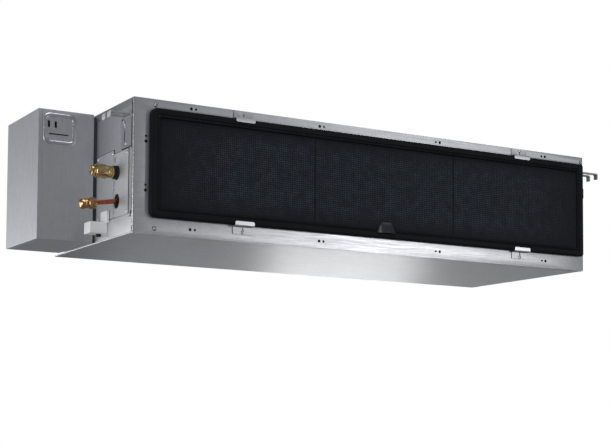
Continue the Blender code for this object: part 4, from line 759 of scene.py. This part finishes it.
def makeLugs(values):
    fold, quarter = values["fold"], math.pi / 2
    first = values["shelf"] - values["legFoot"] - fold
    reach = values["tipDepth"] - values["legDepth"]
    second = first + fold * quarter + reach - 2 * fold
    folds = ((first, fold, -quarter), (second, fold, -quarter))
    length = second + fold * quarter + values["shelf"] - values["tipEnd"] - fold
    shoulder, slope = first - values["shoulder"], values["slope"]
    root = first + fold * quarter + values["slotRoot"] - values["legDepth"] - fold
    near, far = values["slot"]
    width = values["shelfWidth"]
    start, end, foot = values["legStart"], values["legEnd"], values["legFoot"]
    tip, leg, slot = values["tipCorner"], values["legCorner"], values["slotCorner"]
    corners = (
        (0, start, leg), (shoulder, start, 0.001), (shoulder + slope, 0, 0.002), (length, 0, tip),
        (length, near, tip), (root, near, slot), (root, far, slot), (length, far, tip),
        (length, width, tip), (shoulder + slope, width, leg), (shoulder - slope / 2, end, leg),
        (0, end, leg),
    )
    holes = [circleOutline((z - foot, depth), values["screwHole"]) for depth, z in values["screws"]]
    inner, outer, low, high = values["rib"]
    rib = rectangle((low - foot, inner), (high - foot, outer), values["ribCorner"])
    holes.append(roundCorners(rib, 4))
    seats, shadeStrip = [], bmesh.new()
    for level, inward in (("front", 1), ("rear", -1)):
        for side, out in (("left", -1), ("right", 1)):
            edge = -inward * values["edge"]
            outlines = [roundCorners(corners), *holes]
            shape = foldBlank(outlines, values["sheet"], folds, lambda across, up, beside: (
                out * (values["legDepth"] - beside), edge + inward * across, foot + up))
            screws = [((out * values["face"], edge + inward * depth, z), (out, 0, 0))
                      for depth, z in values["screws"]]
            addTurned(shape, values["ring"], seated(*screws[0]), 28)
            finishPiece(f"hangerLug_{level}_{side}", shape, lugSteel,
                        (f"hanger_lug_{level}_{side}",), rounding=0.0004)
            seats += screws
            # Painted shade: a thin black strip shows as a dark line round the leg and through its slot
            spare = values["shadeReach"]
            ends = sorted((edge + inward * (start - spare), edge + inward * (end + spare)))
            sides = sorted(out * x for x in values["shadeStrip"])
            addBox(shadeStrip, (sides[0], ends[0], foot - spare), (sides[1], ends[1], values["shadeTop"]))
    makeScrews("lugScrews", seats)
    finishPiece("lugShadeStrip", shadeStrip, foam)


makeLugs(hangerLug)
print("hanger lugs made")

# Pipe fittings: unions, chamfered nuts and end caps turned from brass, on rubber grommets
gasLine = {"y": -0.134, "z": 0.131, "pipe": 0.0082}
gasRings = {
    "union": (-0.5843, [(0.0110, 0), (0.0122, 0.0009), (0.0122, 0.0040), (0.0108, 0.0046),
                        (0.0108, 0.0062), (0.0122, 0.0068), (0.0122, 0.0104), (0.0112, 0.0115)]),
    "cap": (-0.6224, [(0.0084, 0), (0.0084, 0.0010), (0.0100, 0.0014), (0.0105, 0.0022),
                      (0.0105, 0.0066), (0.0101, 0.0080), (0.0090, 0.0087), (0.0072, 0.0087),
                      (0.0068, 0.0080)]),
    "grommet": (-0.5697, [(0.0136, 0), (0.0142, 0.0006), (0.0142, 0.0076), (0.0134, 0.0086),
                          (0.0130, 0.0098), (0.0134, 0.0106), (0.0134, 0.0126), (0.0128, 0.0138),
                          (0.0112, 0.0143)]),
}
gasNut = {"start": -0.5961, "flats": 0.0255, "length": 0.026, "chamfer": 0.0030}


def makeGasFittings(line, rings, nut):
    outward = (-1, 0, 0)
    for part, finish, body in (("union", brass, "casing"), ("cap", brass, "gas_nut"),
                               ("grommet", blackRubber, "casing")):
        start, profile = rings[part]
        bore = 0 if part == "cap" else line["pipe"]
        profile = [(bore, profile[0][1]), *profile, (bore, profile[-1][1])]
        makeTurned("gas" + part.capitalize(), profile, ((start, line["y"], line["z"]), outward), finish,
                   stands=("gas_" + part,), body=body, smooth=32)
    shape = bmesh.new()
    place = seated((nut["start"], line["y"], line["z"]), outward)
    addNut(shape, place, nut["flats"], nut["length"], line["pipe"], nut["chamfer"])
    finishPiece("gasFlareNut", shape, brass, ("gas_flare_nut",), "gas_nut", smooth=28)


liquidLine = {
    "wall": (-0.575, -0.134, 0.0735), "axis": (-0.98769, 0, -0.15643), "bore": 0.0050,
    "nutStart": 0.045, "flats": 0.020, "length": 0.016, "chamfer": 0.0022, "capStart": 0.0613,
    "cap": [(0, 0), (0.0070, 0), (0.0070, 0.0016), (0.0096, 0.0022), (0.0105, 0.0034), (0.0105, 0.0062),
            (0.0098, 0.0068), (0.0098, 0.0078), (0.0105, 0.0084), (0.0105, 0.0122), (0.0100, 0.0144),
            (0.0088, 0.0162), (0.0066, 0.0175), (0.0036, 0.0180), (0, 0.0180)],
}


def makeLiquidFittings(values):
    wall, axis = Vector(values["wall"]), Vector(values["axis"])
    shape = bmesh.new()
    addNut(shape, seated(wall + axis * values["nutStart"], axis), values["flats"], values["length"],
           values["bore"], values["chamfer"])
    finishPiece("liquidFlareNut", shape, redBrass, ("liquid_flare_nut",), "liquid_nut", smooth=28)
    makeTurned("liquidCap", values["cap"], (wall + axis * values["capStart"], axis), redBrass,
               stands=("liquid_cap",), body="liquid_nut", smooth=32)


liquidGrommet = {"middle": (-0.134, 0.0735), "half": (0.0127, 0.0147), "corner": 0.0113,
                 "steps": [(0.0, -0.5697), (0.0, -0.5732), (0.0006, -0.5738), (0.0022, -0.5738),
                           (0.0030, -0.5730), (0.0042, -0.5716), (0.0062, -0.5708), (0.0073, -0.5706),
                           (0.0075, -0.5697)]}


def makeLiquidGrommet(values):
    # A slot-shaped rubber plate, dished towards the pipe
    shape = bmesh.new()
    wide, tall = values["half"]
    y, z = values["middle"]
    section = [(inset, x, max(values["corner"] - inset, 0.003)) for inset, x in values["steps"]]
    addSwept(shape, section, ((y - wide, z - tall), (y + wide, z + tall)), 8, facesLeft=True)
    finishPiece("liquidGrommet", shape, blackRubber, ("liquid_grommet",), smooth=40)


makeGasFittings(gasLine, gasRings, gasNut)
makeLiquidFittings(liquidLine)
makeLiquidGrommet(liquidGrommet)
print("fittings made")

# Drain: a moulded block with a hanging tab, a tube into the pan and a rubber plug
drainBlock = {
    "low": (-0.613, -0.090, 0.013), "high": (-0.5753, -0.057, 0.0365),
    "tabLow": (-0.5813, -0.100, 0.0335), "tabHigh": (-0.5755, -0.066, 0.0595),
    # where the spout starts, its direction, inner and outer radius and length
    "spout": ((-0.5790, -0.0735, 0.02475), (1, 0, 0), 0.0063, 0.0090, 0.0360),
    "spoutChamfer": 0.0006,
    "plug": (-0.5883, -0.07515), "bore": 0.0043, "boreStart": 0.011, "boreDepth": 0.009,
    # ribs on top of the block: their shares of its length, half width, height and stop before its rear
    "ribs": (0.24, 0.76), "ribHalf": 0.0006, "ribHeight": 0.0010, "ribStop": 0.004,
}
drainPlug = {"top": 0.018,
             "profile": [(0, 0), (0.0034, 0), (0.0040, 0.0007), (0.0040, 0.0053), (0.0049, 0.0053),
                         (0.0055, 0.0059), (0.0055, 0.0084), (0.0050, 0.0096), (0.0036, 0.0102),
                         (0.0012, 0.0103), (0, 0.0103)]}


def makeDrain(values, plug):
    shape = bmesh.new()
    addBox(shape, values["low"], values["high"])
    addBox(shape, values["tabLow"], values["tabHigh"])
    block = finishPiece("drainBlock", shape, whitePolystyrene, ("drain_outlet",), rounding=0.0012)
    cutter = bmesh.new()
    (x, y), bore, depth = values["plug"], values["bore"], values["boreDepth"]
    addTurned(cutter, [(0, 0), (bore, 0), (bore, depth), (0, depth)],
              seated((x, y, values["boreStart"]), (0, 0, 1)), 32)
    carve(block, cutter)
    shape = bmesh.new()
    start, axis, bore, outer, length = values["spout"]
    chamfer = values["spoutChamfer"]
    addTurned(shape, [(bore, 0), (outer, 0), (outer, length - chamfer), (outer - chamfer, length),
                      (bore, length), (bore, 0)], seated(start, axis), 40)
    (left, front, _), (right, rear, top) = values["low"], values["high"]
    half = values["ribHalf"]
    for share in values["ribs"]:
        middle = left + (right - left) * share
        addBox(shape, (middle - half, front, top - values["ribHeight"]),
               (middle + half, rear - values["ribStop"], top))
    finishPiece("drainSpout", shape, whitePolystyrene, smooth=40)
    makeTurned("drainPlug", plug["profile"], ((x, y, plug["top"]), (0, 0, -1)), blackRubber, 40,
               stands=("drain_plug",), body="plug")


makeDrain(drainBlock, drainPlug)
print("drain made")

# Cover plates on the left wall, held by small screws
pipePlate = {
    "depth": -0.5741, "sheet": 0.0012, "corner": 0.003,
    "low": (-0.191, 0.042), "high": (-0.1178, 0.171),
    # openings: a round one with its centre and radius, then two slots with their corners and radii
    "gas": ((-0.134, 0.131), 0.0145), "liquid": ((-0.147, 0.0585), (-0.121, 0.0885), 0.0117),
    "keyhole": ((-0.1252, 0.1535), (-0.1212, 0.1640), 0.0019),
    "pinholes": ((-0.1225, 0.1130, 0.0018), (-0.1225, 0.1065, 0.0014), (-0.1225, 0.0985, 0.0018),
                 (-0.1230, 0.0510, 0.0017)),
    "screws": ((-0.1850, 0.0480), (-0.1850, 0.1650)),
}
coilPlate = {
    "depth": -0.5741, "sheet": 0.0012, "corner": 0.003,
    "low": (-0.1159, 0.042), "high": (-0.027, 0.179),
    "pinholes": ((-0.1100, 0.1500, 0.0014), (-0.1100, 0.0900, 0.0014)),
    "screws": ((-0.1110, 0.1730), (-0.0330, 0.1730), (-0.0330, 0.0480)),
}


def makePlate(name, values, node):
    outlines = [roundCorners(rectangle(values["low"], values["high"], values["corner"]))]
    if "gas" in values:
        centre, radius = values["gas"]
        outlines.append(circleOutline(centre, radius, 48))
        outlines += [roundCorners(rectangle(*values[slot]), steps)
                     for slot, steps in (("liquid", 8), ("keyhole", 4))]
    outlines += [circleOutline((y, z), radius, 12) for y, z, radius in values["pinholes"]]
    shape = cutBlank(outlines, values["sheet"])
    for vert in shape.verts:
        y, z, out = vert.co
        vert.co = (values["depth"] - out, y, z)
    finishPiece(name, shape, litCoverSteel, (node,), rounding=0.00025)
    seats = [((values["depth"] - values["sheet"] / 2, y, z), (-1, 0, 0)) for y, z in values["screws"]]
    makeScrews(name + "Screws", seats)


makePlate("pipeCoverPlate", pipePlate, "pipe_cover_plate")
makePlate("coilCoverPlate", coilPlate, "coil_cover_plate")
print("cover plates made")

# Painted shade: black rings round the hole pairs of the front flanges, which widen the holes' dark
# shade
holeShadeRings = {
    "spacing": 0.0105, "pitch": 0.300, "first": -0.450, "levels": (0.260, 0.016),
    "radii": (0.00225, 0.0015), "depth": -0.215,
    # pairs up the left edge: where across, at which levels, and half their spacing
    "side": (-0.548, (0.189, 0.0918), 0.00525),
    # how much wider than the hole, and how far out of the sheet
    "profile": ((-0.0003, -0.0016), (-0.0003, 0.0002), (0.0002, 0.0004), (0.0008, 0.0003),
                (0.0011, -0.0001)),
}


def rimSpots(values):
    spots = []
    large, small = values["radii"]
    for z in values["levels"]:
        for i in range(4):
            x = values["first"] + values["pitch"] * i
            near, far = (large, small) if i < 2 else (small, large)
            spots += [(x, z, near), (x + values["spacing"], z, far)]
    x, levels, half = values["side"]
    for z in levels:
        spots += [(x, z + half, small), (x, z - half, large)]
    return spots


def makeHoleShadeRings(values):
    rings = [([(radius + wider, out) for wider, out in values["profile"]], (x, values["depth"], z))
             for x, z, radius in rimSpots(values)]
    makeRings("holeShadeRings", rings, blackRubber)


makeHoleShadeRings(holeShadeRings)
print("hole bushes made")


def channelFolds(values, rise):
    # A strip folded up at both ends: its folds, where the first starts, a bend's length, the whole
    fold, bend = values["fold"], values["fold"] * math.pi / 2
    first = rise - fold
    flat = values["right"] - values["left"] - values["sheet"] - 2 * fold
    folds = ((first, fold, math.pi / 2), (first + bend + flat, fold, math.pi / 2))
    return folds, first, bend, 2 * (first + bend) + flat


# Front frame: one sheet with a window, hole pairs and screw holes, folded back at both sides
returnFrame = {
    "left": -0.575, "right": 0.575, "top": 0.270, "face": -0.21425, "sheet": 0.0015, "fold": 0.0021,
    "flange": 0.0065, "flangeLow": 0.0398, "flangeHigh": 0.2552, "flangeCorner": 0.002,
    "notch": 0.45,  # share of the bend that is left above and below a flange
    "windowLow": (-0.518, 0.056), "windowHigh": (0.544, 0.228), "windowCorner": 0.006,
    "screws": ((-0.528, 0.258), (-0.528, 0.012), (0.569, 0.258),
               (-0.333, 0.2649), (-0.333, 0.0191), (0.383, 0.2649), (0.383, 0.0191)),
    "screwHole": 0.0023,
    "lip": ((-0.5745, -0.2134, 0.0), (0.5745, -0.2026, 0.0015)),
    # Painted shade: a black backing behind the frame, which makes its holes look dark
    "gasket": (((-0.5722, -0.2131, 0.0035), (0.5722, -0.2114, 0.0500)),
               ((-0.5722, -0.2131, 0.2340), (0.5722, -0.2114, 0.2680)),
               ((-0.5722, -0.2131, 0.0500), (-0.5240, -0.2114, 0.2340)),
               ((0.5500, -0.2131, 0.0500), (0.5722, -0.2114, 0.2340))),
}


def makeReturnFrame(values, rims):
    folds, first, bend, total = channelFolds(values, values["flange"])
    middle = values["left"] + values["sheet"] / 2
    start = first + bend - (middle + values["fold"])
    notch = first + bend * values["notch"]
    near, far = notch, total - notch
    low, high, top = values["flangeLow"], values["flangeHigh"], values["top"]
    corner = values["flangeCorner"]
    outlines = [roundCorners((
        (0, low, corner), (near, low, 0), (near, 0, 0), (far, 0, 0), (far, low, 0),
        (total, low, corner), (total, high, corner), (far, high, 0), (far, top, 0), (near, top, 0),
        (near, high, 0), (0, high, corner)))]
    (a, b), (c, d) = values["windowLow"], values["windowHigh"]
    outlines.append(roundCorners(rectangle((a + start, b), (c + start, d), values["windowCorner"])))
    outlines += [circleOutline((x + start, z), radius, 16) for x, z, radius in rimSpots(rims)]
    outlines += [circleOutline((x + start, z), values["screwHole"], 14) for x, z in values["screws"]]
    # Folded in plan, from the left flange's rear edge forward, across and back
    shape = foldBlank(outlines, values["sheet"], folds, lambda height, ahead, aside: (
        middle + aside, values["face"] + values["flange"] - ahead, height))
    addBox(shape, *values["lip"])
    finishPiece("returnFrame", shape, caseSteel, ("return_frame",), rounding=0.00035)
    makeBoxes("faceShadeBacking", values["gasket"], foam)


# Bottom panel: a sheet with both sides folded up, behind the front frame's lip
bottomPanel = {"left": -0.575, "right": 0.575, "height": 0.039, "sheet": 0.0015, "fold": 0.0010,
               "front": -0.2130, "floorFront": -0.2010, "back": 0.215, "notch": 0.3, "corner": 0.002,
               "notchCorner": 0.001, "spout": (0.01425, -0.0735, 0.0094)}


def makeBottomPanel(values):
    folds, first, bend, total = channelFolds(values, values["height"] - values["sheet"] / 2)
    middle = values["left"] + values["sheet"] / 2
    front, floorFront, back = values["front"], values["floorFront"], values["back"]
    notch = first + bend * values["notch"]
    corner, small = values["corner"], values["notchCorner"]
    outline = roundCorners((
        (0, front, corner), (notch, front, small), (notch, floorFront, 0),
        (total - notch, floorFront, 0), (total - notch, front, small), (total, front, corner),
        (total, back, corner), (0, back, corner)))
    *spout, radius = values["spout"]
    outlines = [outline, circleOutline(spout, radius, 32)]
    shape = foldBlank(outlines, values["sheet"], folds, lambda across, down, inward: (
        middle + inward, across, values["height"] - down))
    finishPiece("bottomPanel", shape, floorSteel, ("bottom_panel",), rounding=0.0003)


makeReturnFrame(returnFrame, holeShadeRings)
makeBottomPanel(bottomPanel)
print("front frame and bottom panel made")

# Control box: a hollow tray with an embossed ring round its vent slots
boxTray = {
    "low": (-0.6927, -0.023, 0.0025), "high": (-0.581, 0.169, 0.270), "sheet": 0.0015,
    "slots": (((-0.6812, 0.2330), (-0.6765, 0.2465)), ((-0.6665, 0.2330), (-0.6615, 0.2460)),
              ((-0.6785, 0.2185), (-0.6370, 0.2210))),
    "gland": ((-0.641, 0.169, 0.060), 0.0103),
    "bead": ((-0.6905, 0.1985), (-0.6195, 0.2635)),
    "beadSection": [(0.0, -0.0222, 0.0140), (0.0, -0.0230, 0.0140), (0.0007, -0.0235, 0.0135),
                    (0.0020, -0.0240, 0.0125), (0.0042, -0.0242, 0.0104), (0.0064, -0.0240, 0.0082),
                    (0.0077, -0.0235, 0.0070), (0.0084, -0.0230, 0.0062), (0.0084, -0.0222, 0.0062)],
    "rounding": 0.0007,
    # how far the cutting shapes run past the sheet: to the left, to the front and to the back
    "clear": (0.005, 0.003, 0.004),
}


def makeBoxTray(values):
    shape = bmesh.new()
    addBox(shape, values["low"], values["high"])
    tray = finishPiece("boxTray", shape, sideSteel, ("control_box_tray",))
    sheet, (aside, before, behind) = values["sheet"], values["clear"]
    (left, front, foot), (right, back, top) = values["low"], values["high"]
    hollow = bmesh.new()
    addBox(hollow, (left - aside, front + sheet, foot + sheet),
           (right - sheet, back - sheet, top - sheet))
    carve(tray, hollow)
    holes = bmesh.new()
    for (a, b), (c, d) in values["slots"]:
        addBox(holes, (a, front - before, b), (c, front + behind, d))
    centre, radius = values["gland"]
    addTurned(holes, [(0, -behind), (radius, -behind), (radius, behind), (0, behind)],
              seated(centre, (0, 1, 0)), 32)
    carve(tray, holes)
    tray.data.shade_smooth()
    tray.data.set_sharp_from_angle(angle=math.radians(35))
    roundEdges(tray, values["rounding"], 3)
    shape = bmesh.new()
    addSwept(shape, values["beadSection"], values["bead"])
    finishPiece("boxBead", shape, pressedSteel, smooth=60)


makeBoxTray(boxTray)
print("control box made")

# Painted shade: black strips that show as dark lines round the cover plates, in the gap by the control
# box and by the front frame's flange, and as dark patches behind the plates' small holes
plateShadeStrips = {
    "depths": (-0.5738, -0.5733),
    "strips": (((-0.1180, 0.1780), (-0.0255, 0.1804)), ((-0.1922, 0.1700), (-0.1165, 0.1724)),
               ((-0.1922, 0.0410), (-0.1895, 0.1724)), ((-0.1184, 0.0410), (-0.1152, 0.1804))),
    "patches": (((-0.1275, 0.1515), (-0.1190, 0.1660)), ((-0.1265, 0.0960), (-0.1190, 0.1155)),
                ((-0.1270, 0.0475), (-0.1190, 0.0545))),
    # between the control box and the wall
    "boxGap": ((-0.5808, -0.0222, 0.0035), (-0.5736, -0.0120, 0.2640)),
    # between the front frame's flange and the wall, and under the flange
    "cornerGap": (((-0.57525, -0.2094, 0.1680), (-0.57455, -0.2070, 0.2650)),
                  ((-0.57525, -0.2080, 0.0330), (-0.57455, -0.2035, 0.0460)),
                  ((-0.57525, -0.2128, 0.0030), (-0.57455, -0.2096, 0.0150))),
}


def makeShadeStrips(values):
    outer, inner = values["depths"]
    tapes = [((outer, *low), (inner, *high)) for low, high in values["strips"] + values["patches"]]
    makeBoxes("plateShadeStrips", [*tapes, *values["cornerGap"]], foam)
    makeBoxes("boxGapShade", [values["boxGap"]], foam, rounding=0.0008)


makeShadeStrips(plateShadeStrips)

# Rolled corner edges of the front, which catch the light as bright lines
cornerEdge = {"corner": (-0.5733, -0.2133), "radius": 0.00178, "steps": 8,
              "low": 0.0012, "high": 0.2688,
              "hem": ((-0.5732, -0.2152, 0.0002), (0.5732, -0.2140, 0.0016))}


def makeCornerEdge(values):
    shape = bmesh.new()
    (x, y), radius, steps = values["corner"], values["radius"], values["steps"]
    turns = [math.pi + math.pi / 2 * k / steps for k in range(steps + 1)]
    outline = [(x + radius * math.cos(turn), y + radius * math.sin(turn)) for turn in turns] + [(x, y)]
    for side in (1, -1):
        columns = [[shape.verts.new((side * a, b, z)) for z in (values["low"], values["high"])]
                   for a, b in outline]
        joinRows(shape, columns, around=False, closed=True)
        for level in (0, 1):
            shape.faces.new([column[level] for column in columns])
    finishPiece("cornerEdges", shape, pressedSteel, smooth=40)
    makeBoxes("frontHem", [values["hem"]], caseSteel, rounding=0.0004)


makeCornerEdge(cornerEdge)

# Camera: where the photograph was taken from, fitted to the case's corners
cameraSpot = {
    "place": (-1.6712, -2.7675, -0.4055),
    "yaw": 30.265,  # degrees from +Y towards +X
    "pitch": 3.848,
    "roll": 0.332,
    "lens": 83.919,
    "shift": 0.20,
}


def placeCamera(spot):
    yaw, pitch, roll = (math.radians(spot[key]) for key in ("yaw", "pitch", "roll"))
    ahead = Vector((math.sin(yaw) * math.cos(pitch), math.cos(yaw) * math.cos(pitch), math.sin(pitch)))
    right = Vector((math.cos(yaw), -math.sin(yaw), 0))
    up = right.cross(ahead)
    right, up = (math.cos(roll) * right + math.sin(roll) * up,
                 math.cos(roll) * up - math.sin(roll) * right)
    camera = bpy.data.objects.new("camera", bpy.data.cameras.new("camera"))
    turn = Matrix((right, up, -ahead)).transposed().to_4x4()
    camera.matrix_world = Matrix.Translation(spot["place"]) @ turn
    camera.data.lens = spot["lens"]
    camera.data.sensor_width = 36
    camera.data.shift_y = spot["shift"]
    camera.data.clip_end = 60
    bpy.context.scene.collection.objects.link(camera)
    bpy.context.scene.camera = camera


# Studio: grey floor, white backdrop behind the object and soft lamps
studio = {
    "floorHeight": -1.25,
    "floorReach": 5.0,
    "floorColours": ("#909192", "#888a8b"),
    # left, right, foot and top
    "backdrop": (0.2, 5.4, -0.47, 3.4),
    "backdropDepth": 4.6,
    "roomColour": "#6c6e72",
    "roomStrength": 1.0,
    # place, aim, width, height, power in watts
    "lamps": (
        ("frontRight", (2.12, -3.4, 0.40), (0.15, -0.2, 0.05), 0.45, 0.7, 23),
        ("frontLeft", (0.2, -3.3, 0.85), (-0.65, -0.1, 0.1), 0.7, 1.0, 0.4),
        ("behindBelow", (1.9, 3.0, -0.7), (0.1, 0.0, 0.0), 0.75, 0.5, 4.6),
        ("behindWide", (1.9, 3.0, -0.9), (0.1, 0.0, 0.0), 2.4, 0.4, 2.4),
        ("rightSide", (3.2, 1.2, 1.0), (0.575, 0.0, 0.15), 2.0, 1.6, 16),
        ("leftFront", (-2.8, -1.2, -0.2), (-0.6, -0.1, 0.1), 1.5, 1.5, 29),
        ("leftBack", (-2.0, 3.0, -0.35), (-0.7, 0.1, 0.1), 2.2, 1.3, 24),
        ("leftSide", (-3.4, 1.6, -0.6), (-0.7, 0.1, 0.1), 2.2, 1.6, 44),
        ("overhead", (-0.5, -1.6, 2.8), (0.0, 0.0, 0.1), 2.0, 2.0, 34),
    ),
}


def makeStudio(values):
    world = bpy.data.worlds.new("room")
    world.use_nodes = True
    background = world.node_tree.nodes["Background"]
    background.inputs["Color"].default_value = linear(values["roomColour"])
    background.inputs["Strength"].default_value = values["roomStrength"]
    bpy.context.scene.world = world

    floorPaint, tree, place = startFinish("greyFloorPaint", values["floorColours"][0], 0.7)
    grain = addNode(tree, "TexNoise", {"Vector": place, "Scale": 30.0, "Detail": 3.0})
    dress(floorPaint, (grain, *values["floorColours"]))
    # White to the camera and in reflections, but no more than matt paper to the light in the room
    paper = bpy.data.materials.new("whiteBackdrop")
    paper.use_nodes = True
    tree = paper.node_tree
    rays = addNode(tree, "LightPath")
    seen = rays.outputs["Is Camera Ray"]
    for kind in ("Glossy", "Transmission"):
        seen = addNode(tree, "Math", {0: seen, 1: rays.outputs[f"Is {kind} Ray"]}, operation="MAXIMUM")
    white = addNode(tree, "Emission", {"Color": (1, 1, 1, 1), "Strength": 1.0})
    matt = addNode(tree, "BsdfDiffuse", {"Color": "#f2f2f2"})
    both = addNode(tree, "MixShader", {0: seen, 1: matt, 2: white})
    setInput(tree, tree.nodes["Material Output"].inputs["Surface"], both)

    reach, low = values["floorReach"], values["floorHeight"]
    left, right, foot, top = values["backdrop"]
    depth = values["backdropDepth"]
    panels = (
        ("floor", floorPaint,
         [(x, y, low) for x, y, _ in rectangle((-reach, -reach), (reach, reach), 0)]),
        ("backdrop", paper, [(x, depth, z) for x, z, _ in rectangle((left, foot), (right, top), 0)]),
    )
    for name, finish, corners in panels:
        mesh = bpy.data.meshes.new(name)
        mesh.from_pydata(corners, [], [(0, 1, 2, 3)])
        mesh.materials.append(finish)
        panel = bpy.data.objects.new(name, mesh)
        bpy.context.scene.collection.objects.link(panel)

    for name, spot, aim, width, height, power in values["lamps"]:
        light = bpy.data.lights.new(name, "AREA")
        light.shape = "RECTANGLE"
        light.size, light.size_y, light.energy = width, height, power
        lamp = bpy.data.objects.new(name, light)
        lamp.location = spot
        lamp.rotation_euler = (Vector(aim) - Vector(spot)).to_track_quat("-Z", "Y").to_euler()
        lamp.visible_camera = False
        bpy.context.scene.collection.objects.link(lamp)


placeCamera(cameraSpot)
makeStudio(studio)
bpy.context.scene.view_settings.view_transform = "Standard"
print("camera and studio placed")
